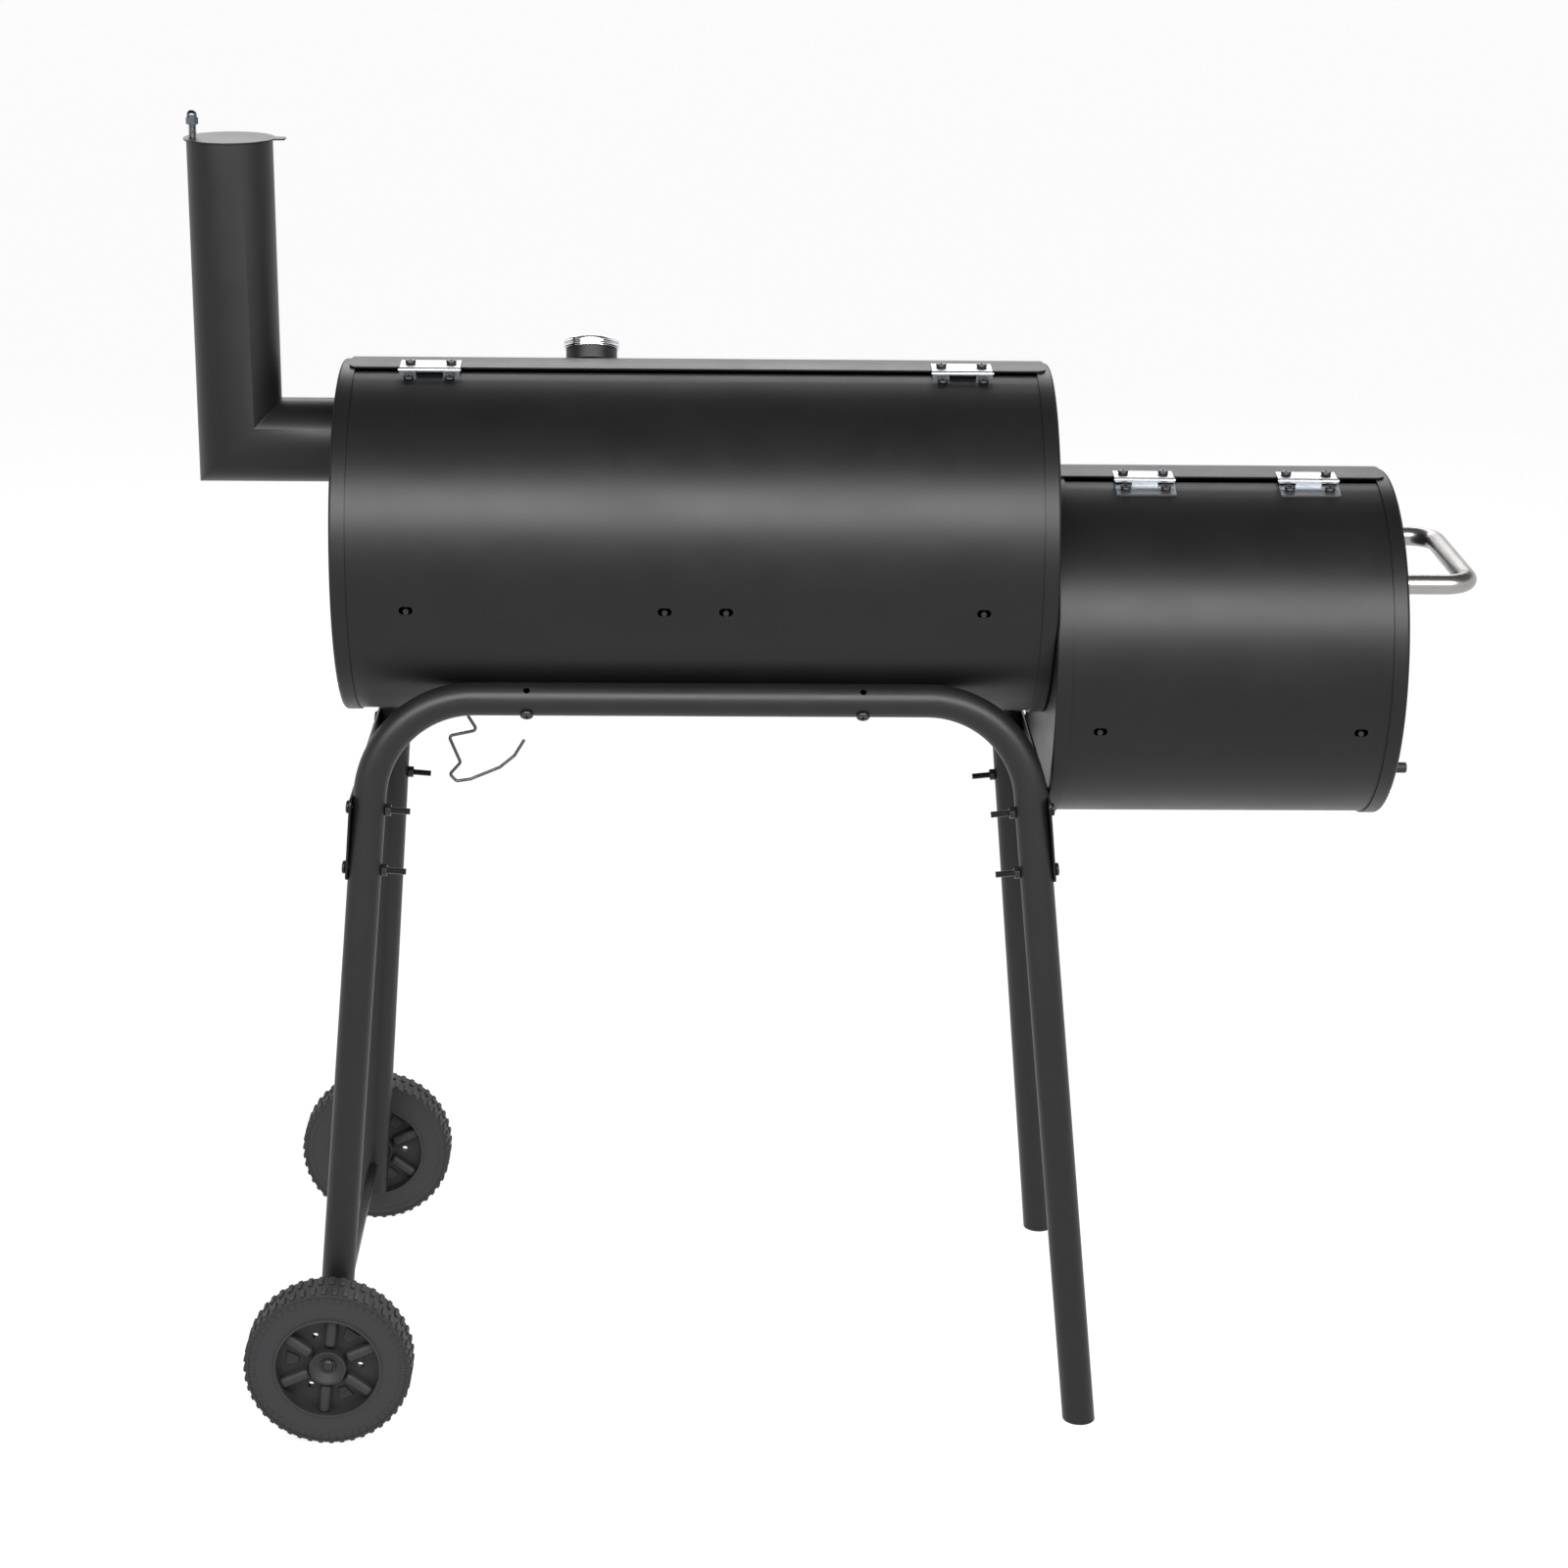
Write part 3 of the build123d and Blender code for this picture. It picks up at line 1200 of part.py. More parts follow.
with BuildPart() as air_damper_pivot:
    pivot_length = clearance + sheet + clearance + sheet + nut_height + 3
    seat = (air_outer - clearance, 0, air_z)
    round_screw(seat, (1, 0, 0), 7, bolt_head_height, air_pivot_radius, pivot_length)
    nut_seat = (firebox_end + sheet, 0, air_z)
    hex_nut(nut_seat, (1, 0, 0), nut_flats, nut_height, air_pivot_radius + running_fit)
air_damper_pivot.part.label = "air_damper_pivot"
export_step(air_damper_pivot.part, "parts/air_damper_pivot.step")

# ---------------------------------------------------------------- grease can hanger
barrel_bottom = barrel_z - barrel_radius
hook_z = barrel_bottom + sheet + hanger_wire + clearance
# The wire's bends below the drum, from the drain hole: along X, and down from the drum's bottom
hanger_bends = (
    (0.0, 15.6),
    (-8.0, 29.0),
    (18.6, 34.8),
    (8.1, 60.8),
    (18.4, 72.4),
    (12.1, 79.1),
    (-0.8, 77.1),
    (-28.5, 65.4),
    (-42.4, 53.8),
    (-51.8, 38.3),
)
with BuildPart() as grease_can_hanger:
    with BuildLine() as hanger_route:
        FilletPolyline(
            (drain_x + hanger_hook, 0, hook_z),
            (drain_x, 0, hook_z),
            *((drain_x + x, 0, barrel_bottom - drop) for x, drop in hanger_bends),
            radius=hanger_bend,
        )
    with BuildSketch(Plane(origin=hanger_route.line @ 0, z_dir=(-1, 0, 0))):
        Circle(hanger_wire)
    sweep(path=hanger_route.line)
grease_can_hanger.part.label = "grease_can_hanger"
export_step(grease_can_hanger.part, "parts/grease_can_hanger.step")
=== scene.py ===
"""The looks of an offset smoker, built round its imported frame.

Everything is in metres in the frame's own axes: +Z up, -Y the front where the lids open,
+X the chimney's end. Finishes come first, then one class for each sub-assembly, then the studio.
"""

import json
import logging
import math
from dataclasses import dataclass
from enum import Enum
from typing import Callable, Iterable, Sequence

import bmesh
import bpy
import numpy as np
from mathutils import Matrix, Vector

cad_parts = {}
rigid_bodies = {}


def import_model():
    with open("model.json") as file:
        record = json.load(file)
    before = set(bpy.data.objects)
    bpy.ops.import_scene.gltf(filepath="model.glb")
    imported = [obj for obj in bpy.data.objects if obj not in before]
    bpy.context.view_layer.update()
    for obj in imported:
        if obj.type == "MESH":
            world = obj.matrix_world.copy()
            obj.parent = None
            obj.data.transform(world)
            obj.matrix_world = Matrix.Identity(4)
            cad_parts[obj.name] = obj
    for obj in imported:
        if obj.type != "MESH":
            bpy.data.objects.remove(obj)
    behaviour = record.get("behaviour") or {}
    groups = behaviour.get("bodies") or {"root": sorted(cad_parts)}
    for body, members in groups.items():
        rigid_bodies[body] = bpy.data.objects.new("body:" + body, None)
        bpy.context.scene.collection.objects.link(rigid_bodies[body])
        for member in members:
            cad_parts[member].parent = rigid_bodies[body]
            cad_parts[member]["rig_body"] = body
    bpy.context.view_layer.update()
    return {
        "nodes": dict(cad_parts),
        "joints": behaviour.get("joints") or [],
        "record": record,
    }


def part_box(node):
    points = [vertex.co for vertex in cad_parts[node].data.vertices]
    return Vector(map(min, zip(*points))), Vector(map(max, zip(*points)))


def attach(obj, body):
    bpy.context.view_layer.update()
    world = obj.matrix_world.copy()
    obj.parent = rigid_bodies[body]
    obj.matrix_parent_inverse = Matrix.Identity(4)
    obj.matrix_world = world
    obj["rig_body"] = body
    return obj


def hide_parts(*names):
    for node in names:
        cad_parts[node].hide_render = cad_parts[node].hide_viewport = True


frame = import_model()
LOG = logging.getLogger("smoker")
MM = 0.001
Face = Callable[[Vector, Vector], bool]


# ---------------------------------------------------------------- finishes
def to_linear(hex_colour: str) -> tuple[float, float, float, float]:
    """Turns an sRGB hex colour into linear RGBA.

    Args:
        hex_colour: Six hex digits after a hash.

    Returns:
        The linear colour with an alpha of one.
    """
    channels = [int(hex_colour[place : place + 2], 16) / 255 for place in (1, 3, 5)]
    linear = [c / 12.92 if c <= 0.04045 else ((c + 0.055) / 1.055) ** 2.4 for c in channels]
    return (*linear, 1.0)


def add_node(
    tree: bpy.types.NodeTree, kind: str, settings: dict[str, object], links: dict[str, object]
) -> bpy.types.Node:
    """Adds a shader node with its settings and its incoming links.

    Args:
        tree: The material's node tree.
        kind: The node's type name.
        settings: Values by attribute, or by input name when it starts with a capital.
        links: The output socket that feeds each named input.

    Returns:
        The new node.
    """
    node = tree.nodes.new(kind)
    for name, value in settings.items():
        if name[0].isupper():
            node.inputs[name].default_value = value
        else:
            setattr(node, name, value)
    for name, socket in links.items():
        tree.links.new(socket, node.inputs[name])
    return node


class Grain(Enum):
    """How a surface's fine relief runs."""

    EVEN = (1.0, 1.0, 1.0)
    ALONG_X = (0.03, 1.0, 1.0)
    ALONG_Y = (1.0, 0.03, 1.0)


@dataclass(frozen=True)
class Finish:
    """One real finish, with its colours and the numbers of its shader."""

    name: str
    colour: str
    shade: str  # the second colour of its slow variation
    roughness: float
    roughness_swing: float
    grain_mm: float
    relief_mm: float
    patch_mm: float
    metallic: float = 0.0
    ior: float = 1.5
    grain: Grain = Grain.EVEN
    coat: float = 0.0
    transmission: float = 0.0
    glow: float = 0.0
    glow_colour: str = "#ffffff"

    def material(self) -> bpy.types.Material:
        """Builds the finish's material once, or finds it.

        Returns:
            The material: a slow patch pattern for colour and gloss, a fine one for relief.
        """
        found = bpy.data.materials.get(self.name)
        if found:
            return found
        made = bpy.data.materials.new(self.name)
        made.use_nodes = True
        tree = made.node_tree
        shader = tree.nodes["Principled BSDF"]
        shader.inputs["Metallic"].default_value = self.metallic
        shader.inputs["IOR"].default_value = self.ior
        shader.inputs["Coat Weight"].default_value = self.coat
        shader.inputs["Coat Roughness"].default_value = 0.3
        shader.inputs["Transmission Weight"].default_value = self.transmission
        shader.inputs["Emission Color"].default_value = to_linear(self.glow_colour)
        shader.inputs["Emission Strength"].default_value = self.glow
        place = add_node(tree, "ShaderNodeTexCoord", {}, {})
        patches = add_node(
            tree,
            "ShaderNodeTexNoise",
            {"Scale": 1 / (self.patch_mm * MM), "Detail": 4.0, "Roughness": 0.6},
            {"Vector": place.outputs["Object"]},
        )
        blend = add_node(
            tree,
            "ShaderNodeMix",
            {"data_type": "RGBA"},
            {"Factor": patches.outputs["Fac"]},
        )
        blend.inputs[6].default_value = to_linear(self.colour)
        blend.inputs[7].default_value = to_linear(self.shade)
        tree.links.new(blend.outputs[2], shader.inputs["Base Color"])
        stretched = add_node(
            tree,
            "ShaderNodeMapping",
            {"Scale": self.grain.value},
            {"Vector": place.outputs["Object"]},
        )
        fine = add_node(
            tree,
            "ShaderNodeTexNoise",
            {"Scale": 1 / (self.grain_mm * MM), "Detail": 2.0},
            {"Vector": stretched.outputs["Vector"]},
        )
        gloss = add_node(
            tree,
            "ShaderNodeMapRange",
            {
                "From Min": 0.3,
                "From Max": 0.7,
                "To Min": self.roughness - self.roughness_swing,
                "To Max": self.roughness + self.roughness_swing,
            },
            {"Value": patches.outputs["Fac"] if self.grain is Grain.EVEN else fine.outputs["Fac"]},
        )
        tree.links.new(gloss.outputs["Result"], shader.inputs["Roughness"])
        relief = add_node(
            tree,
            "ShaderNodeBump",
            {"Strength": 1.0, "Distance": self.relief_mm * MM},
            {"Height": fine.outputs["Fac"]},
        )
        tree.links.new(relief.outputs["Normal"], shader.inputs["Normal"])
        return made


# Silicone stove paint sprayed on rolled sheet: satin black with a faint orange peel, drawn coarser.
STOVE_PAINT = Finish(
    "silicone_stove_paint", "#0c0c0d", "#101011",
    roughness=0.39, roughness_swing=0.03, grain_mm=1.8, relief_mm=0.02, patch_mm=60, ior=1.32,
)
# Powder coat on bent tube: a little more matt and a finer peel.
POWDER_COAT = Finish(
    "powder_coated_tube", "#101011", "#141415",
    roughness=0.42, roughness_swing=0.03, grain_mm=1.5, relief_mm=0.02, patch_mm=40, ior=1.36,
)
# Porcelain enamel on welded wire: deep black and glassy.
ENAMEL = Finish(
    "porcelain_enamelled_wire", "#0d0d0e", "#131314",
    roughness=0.22, roughness_swing=0.05, grain_mm=2.0, relief_mm=0.02, patch_mm=12,
)
# Black-oxide screws and nuts: near black with soft glints.
BLACK_OXIDE = Finish(
    "black_oxide_screw", "#0c0c0e", "#121214",
    roughness=0.36, roughness_swing=0.06, grain_mm=0.8, relief_mm=0.01, patch_mm=4, metallic=0.1,
)
# Bright zinc plate on stamped steel: pale grey metal, lightly clouded.
BRIGHT_ZINC = Finish(
    "bright_zinc_plate", "#aaadb1", "#9a9da1",
    roughness=0.34, roughness_swing=0.05, grain_mm=0.9, relief_mm=0.002, patch_mm=8, metallic=1.0,
)
# Zinc plate on small turned parts, painted darker: the mid grey is painted shade for the dark
# surroundings that these bright parts reflect.
ZINC_DARKENED_FOR_SHADE = Finish(
    "zinc_plate_painted_shade", "#5f6266", "#4a4d51",
    roughness=0.24, roughness_swing=0.06, grain_mm=0.9, relief_mm=0.01, patch_mm=4, metallic=1.0,
)
# Chrome plate on turned brass: near mirror.
CHROME = Finish(
    "chrome_plate", "#e2e3e6", "#d4d6da",
    roughness=0.08, roughness_swing=0.03, grain_mm=2.0, relief_mm=0.002, patch_mm=12,
    metallic=1.0,
)
# Brushed stainless tube: neutral grey with fine streaks along the tube, drawn coarser.
BRUSHED_X = Finish(
    "brushed_stainless_lid_handle", "#a5a3a2", "#918f8e",
    roughness=0.3, roughness_swing=0.08, grain_mm=0.5, relief_mm=0.008, patch_mm=30, metallic=1.0,
    grain=Grain.ALONG_X,
)
BRUSHED_Y = Finish(
    "brushed_stainless_end_handle", "#a5a3a2", "#918f8e",
    roughness=0.3, roughness_swing=0.08, grain_mm=0.5, relief_mm=0.008, patch_mm=30, metallic=1.0,
    grain=Grain.ALONG_Y,
)
# Nickel-plated wire, dulled: mid grey with a bright line along it.
PLATED_WIRE = Finish(
    "nickel_plated_wire", "#68676a", "#525155",
    roughness=0.24, roughness_swing=0.04, grain_mm=1.2, relief_mm=0.001, patch_mm=9, metallic=1.0,
)
# Polypropylene moulded in a sparked tool: matt, fine even texture, greyer than the paint.
POLYPROPYLENE = Finish(
    "moulded_polypropylene", "#171719", "#1c1c1e",
    roughness=0.6, roughness_swing=0.05, grain_mm=0.9, relief_mm=0.04, patch_mm=25, ior=1.49,
)
# Baked enamel dial plate: off-white and even.
DIAL_ENAMEL = Finish(
    "enamelled_dial", "#e9e7df", "#dedcd3",
    roughness=0.35, roughness_swing=0.03, grain_mm=1.5, relief_mm=0.004, patch_mm=20,
)
# Printed ink on the dial: black, matt.
DIAL_INK = Finish(
    "dial_ink", "#161617", "#1d1d1e",
    roughness=0.6, roughness_swing=0.04, grain_mm=0.5, relief_mm=0.002, patch_mm=3,
)
# Signal red lacquer on the stamped needle.
NEEDLE_RED = Finish(
    "red_lacquer", "#a8170f", "#97130c",
    roughness=0.35, roughness_swing=0.03, grain_mm=0.7, relief_mm=0.003, patch_mm=5,
)
# Amber and green printed bands on the dial.
DIAL_AMBER = Finish(
    "dial_band_amber", "#d88a1c", "#cd8018",
    roughness=0.5, roughness_swing=0.03, grain_mm=0.5, relief_mm=0.002, patch_mm=4,
)
DIAL_GREEN = Finish(
    "dial_band_green", "#4f8f3d", "#488437",
    roughness=0.5, roughness_swing=0.03, grain_mm=0.5, relief_mm=0.002, patch_mm=4,
)
# Soda-lime glass: clear and smooth.
GLASS = Finish(
    "soda_lime_glass", "#fbfdfc", "#f7faf9",
    roughness=0.02, roughness_swing=0.005, grain_mm=4.0, relief_mm=0.0005, patch_mm=40, ior=1.52,
    transmission=1.0,
)
# Backlit acrylic sweep: smoked sheet lit from below, even white with only a trace of shadow.
SWEEP = Finish(
    "backlit_acrylic_sweep", "#6c6c6c", "#6a6a6a",
    roughness=0.8, roughness_swing=0.02, grain_mm=3.0, relief_mm=0.01, patch_mm=900, glow=0.9,
)

SLOT_FINISH = {
    "black_paint": STOVE_PAINT,
    "black_hardware": BLACK_OXIDE,
    "zinc": BRIGHT_ZINC,
    "chrome": CHROME,
    "stainless": BRUSHED_X,
    "wire": PLATED_WIRE,
    "grate_enamel": ENAMEL,
    "black_plastic": POLYPROPYLENE,
    "dial_white": DIAL_ENAMEL,
    "needle_red": NEEDLE_RED,
    "glass": GLASS,
}
# Turned parts that show darker than the rest of their slot; on the damper's parts the darker grey is
# painted shade for the dark surroundings that they reflect.
NODE_FINISH = {
    "axle": BLACK_OXIDE,
    "axle_nuts": BLACK_OXIDE,
    "damper_acorn_nut": ZINC_DARKENED_FOR_SHADE,
    "damper_spring": ZINC_DARKENED_FOR_SHADE,
    "damper_lug": ZINC_DARKENED_FOR_SHADE,
}


# ---------------------------------------------------------------- modelling by hand
def activate(piece: bpy.types.Object) -> None:
    """Selects one object alone and makes it active.

    Args:
        piece: The mesh object.
    """
    if bpy.context.object and bpy.context.object.mode != "OBJECT":
        bpy.ops.object.mode_set(mode="OBJECT")
    bpy.ops.object.select_all(action="DESELECT")
    piece.select_set(True)
    bpy.context.view_layer.objects.active = piece


def pick_faces(piece: bpy.types.Object, wanted: Face) -> None:
    """Enters edit mode with only the wanted faces selected.

    Args:
        piece: The mesh object.
        wanted: Says of a face's middle and normal whether it is wanted.
    """
    activate(piece)
    bpy.ops.object.mode_set(mode="EDIT")
    bpy.ops.mesh.select_mode(type="FACE")
    bpy.ops.mesh.select_all(action="DESELECT")
    shape = bmesh.from_edit_mesh(piece.data)
    for face in shape.faces:
        face.select_set(wanted(face.calc_center_median(), face.normal))
    bmesh.update_edit_mesh(piece.data)


def leave_edit() -> None:
    """Returns to object mode."""
    bpy.ops.object.mode_set(mode="OBJECT")


def inset(amount: float, depth: float = 0.0) -> None:
    """Insets the selected faces by an amount, and moves them outward by a depth.

    Args:
        amount: How far the border runs inward.
        depth: How far the inner faces move along their normals.
    """
    bpy.ops.mesh.inset(thickness=amount, depth=depth, use_even_offset=True)


def extrude(move: Sequence[float]) -> None:
    """Extrudes the selected faces along a move.

    Args:
        move: The move in the object's axes.
    """
    bpy.ops.mesh.extrude_region_move(TRANSFORM_OT_translate={"value": tuple(move)})


def apply_all(piece: bpy.types.Object) -> None:
    """Applies a piece's modifiers, then its place, turn and size.

    Args:
        piece: The mesh object.
    """
    activate(piece)
    for modifier in list(piece.modifiers):
        bpy.ops.object.modifier_apply(modifier=modifier.name)
    bpy.ops.object.transform_apply(location=True, rotation=True, scale=True)


def bevel(piece: bpy.types.Object, width: float, segments: int = 2, angle: float = 35) -> None:
    """Rounds a piece's sharp edges and applies the rounding.

    Args:
        piece: The mesh object.
        width: The bevel's width.
        segments: How many facets round each edge.
        angle: Edges sharper than this many degrees are rounded.
    """
    rounding = piece.modifiers.new("rounding", "BEVEL")
    rounding.width = width
    rounding.segments = segments
    rounding.limit_method = "ANGLE"
    rounding.angle_limit = math.radians(angle)
    rounding.miter_outer = "MITER_ARC"
    activate(piece)
    bpy.ops.object.modifier_apply(modifier=rounding.name)


def cut(piece: bpy.types.Object, cutter: bpy.types.Object) -> None:
    """Cuts one mesh out of another and removes the cutter.

    Args:
        piece: The object to cut.
        cutter: The object whose shape is taken away.
    """
    removal = piece.modifiers.new("cut", "BOOLEAN")
    removal.operation = "DIFFERENCE"
    removal.object = cutter
    activate(piece)
    bpy.ops.object.modifier_apply(modifier=removal.name)
    bpy.data.objects.remove(cutter)


def join(name: str, pieces: Iterable[bpy.types.Object]) -> bpy.types.Object:
    """Joins pieces into one object.

    Args:
        name: The joined object's name.
        pieces: The objects to join.

    Returns:
        The joined object.
    """
    members = list(pieces)
    activate(members[0])
    for member in members:
        member.select_set(True)
    bpy.ops.object.join()
    whole = bpy.context.object
    whole.name = name
    whole.data.name = name
    return whole


def copied(piece: bpy.types.Object, place: Matrix) -> bpy.types.Object:
    """Copies a piece with its own mesh, moved by a matrix.

    Args:
        piece: The object to copy.
        place: The move that its mesh gets.

    Returns:
        The copy.
    """
    twin = piece.copy()
    twin.data = piece.data.copy()
    bpy.context.scene.collection.objects.link(twin)
    twin.data.transform(place)
    return twin


def cylinder(radius: float, depth: float, place: Sequence[float], sides: int) -> bpy.types.Object:
    """Adds an upright cylinder primitive.

    Args:
        radius: Its radius.
        depth: Its height.
        place: Its middle.
        sides: How many sides it has.

    Returns:
        The new object.
    """
    bpy.ops.object.select_all(action="DESELECT")
    bpy.ops.mesh.primitive_cylinder_add(
        vertices=sides, radius=radius, depth=depth, location=tuple(place)
    )
    return bpy.context.object


def block(size: Sequence[float], place: Sequence[float], turn: float = 0.0) -> bpy.types.Object:
    """Adds a box primitive of a size, turned about Z.

    Args:
        size: Its three sizes.
        place: Its middle.
        turn: Its turn in radians.

    Returns:
        The new object.
    """
    bpy.ops.object.select_all(action="DESELECT")
    bpy.ops.mesh.primitive_cube_add(size=1, location=tuple(place), rotation=(0, 0, turn))
    made = bpy.context.object
    made.scale = tuple(size)
    return made


def dress(
    piece: bpy.types.Object, finish: Finish, body: str, replaced: Sequence[str] = ()
) -> bpy.types.Object:
    """Smooths a finished piece, gives it its finish and its body, and hides what it stands for.

    Args:
        piece: The finished object.
        finish: The finish that it wears.
        body: The moving body that it rides on.
        replaced: The frame's nodes that it stands for.

    Returns:
        The same object.
    """
    apply_all(piece)
    bpy.ops.object.shade_smooth_by_angle(angle=math.radians(32))
    weighing = piece.modifiers.new("flat_faces_stay_flat", "WEIGHTED_NORMAL")
    weighing.keep_sharp = True
    bpy.ops.object.modifier_apply(modifier=weighing.name)
    piece.data.materials.clear()
    piece.data.materials.append(finish.material())
    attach(piece, body)
    if replaced:
        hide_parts(*replaced)
    LOG.info("%s: %d faces on %s", piece.name, len(piece.data.polygons), body)
    return piece


def body_of(node: str) -> str:
    """The body that a frame node moves with.

    Args:
        node: The frame node's name.

    Returns:
        The body's name.
    """
    return frame["nodes"][node]["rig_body"]


def slot_of(node: str) -> str:
    """The material slot of a frame node.

    Args:
        node: The frame node's name.

    Returns:
        The slot's name.
    """
    rows = {row["node"]: row["material_slot"] for row in frame["record"]["subparts"]}
    return rows[node]


def middle(node: str) -> Vector:
    """The middle of a frame node's box.

    Args:
        node: The frame node's name.

    Returns:
        The point, in metres.
    """
    low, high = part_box(node)
    return (low + high) / 2


def merged_copy(node: str, name: str) -> bpy.types.Object:
    """Copies a frame node's mesh into a new object with its loose triangles merged.

    Args:
        node: The frame node's name.
        name: The copy's name.

    Returns:
        The copy, at the origin.
    """
    source = frame["nodes"][node]
    piece = bpy.data.objects.new(name, source.data.copy())
    bpy.context.scene.collection.objects.link(piece)
    pick_faces(piece, lambda centre, normal: True)
    bpy.ops.mesh.remove_doubles(threshold=1e-6)
    bpy.ops.mesh.dissolve_limited(angle_limit=math.radians(0.3))
    leave_edit()
    return piece


def softened(node: str, width: float, finish: Finish | None = None) -> bpy.types.Object:
    """Stands a copy with eased edges in for a frame node.

    Args:
        node: The frame node.
        width: How far each sharp edge is eased.
        finish: Its finish, or the slot's own.

    Returns:
        The dressed copy.
    """
    piece = merged_copy(node, f"{node}_eased")
    bevel(piece, width)
    worn = finish or SLOT_FINISH[slot_of(node)]
    return dress(piece, worn, body_of(node), [node])


@dataclass(frozen=True)
class RodPlace:
    """Where one solid of a group of headed pieces lies, its axis pointing out of the head."""

    centre: Vector
    axis: Vector
    low: float
    high: float


def rod_places(node: str) -> list[RodPlace]:
    """Finds the middle, the axis and the ends of each separate solid in a node.

    Args:
        node: A frame node that is a group of turned pieces.

    Returns:
        One place for each solid, in no special order.
    """
    piece = merged_copy(node, f"{node}_measure")
    shape = bmesh.new()
    shape.from_mesh(piece.data)
    left = set(shape.verts)
    places = []
    while left:
        island, edge = set(), [left.pop()]
        while edge:
            vertex = edge.pop()
            island.add(vertex)
            for link in vertex.link_edges:
                other = link.other_vert(vertex)
                if other in left:
                    left.discard(other)
                    edge.append(other)
        points = np.array([vertex.co for vertex in island])
        centre = points.mean(0)
        _, spread, turns = np.linalg.svd(points - centre, full_matrices=False)
        # A turned piece spreads alike in two directions, and its axis is the odd one out.
        axis = turns[0] if spread[0] - spread[1] > spread[1] - spread[2] else turns[2]
        along = (points - centre) @ axis
        reach = np.linalg.norm(points - centre - np.outer(along, axis), axis=1)
        wide = along[reach > reach.max() * 0.98].mean()
        if wide - along.min() < along.max() - wide:
            axis, along = -axis, -along
        places.append(RodPlace(Vector(centre), Vector(axis), along.min(), along.max()))
    shape.free()
    bpy.data.objects.remove(piece)
    return places


# ---------------------------------------------------------------- sheet metal
@dataclass
class SheetMetal:
    """The rolled shells, dished caps, lids, straps and tubes, kept as the frame has them."""

    edge: float = 0.35 * MM
    tube_edge: float = 0.25 * MM
    leaf_edge: float = 0.22 * MM
    small_edge: float = 0.3 * MM

    def build(self) -> None:
        """Eases the edges of each pressed, rolled or bent piece."""
        for node in (
            "barrel_shell", "barrel_cap_chimney", "barrel_cap_firebox", "firebox_shell",
            "firebox_cap_inner", "firebox_cap_outer", "main_lid", "firebox_lid", "chimney_damper",
            "air_damper", "strap_foot", "strap_wheel", "chimney_stack",
        ):
            softened(node, self.edge)
        for side in ("rear", "front"):
            for end in ("foot", "wheel"):
                softened(f"frame_tube_{side}_{end}", self.tube_edge, POWDER_COAT)
        for node in ("hinge_fixed_leaves", "main_lid_leaves", "firebox_lid_leaves"):
            softened(node, self.leaf_edge)
        for node in ("strap_nuts", "barrel_nuts", "axle_spacers", "gauge_nut"):
            softened(node, self.small_edge)
        softened("firebox_end_handle", self.small_edge, BRUSHED_Y)
        for node in ("main_lid_handle", "firebox_lid_handle"):
            softened(node, self.small_edge, BRUSHED_X)


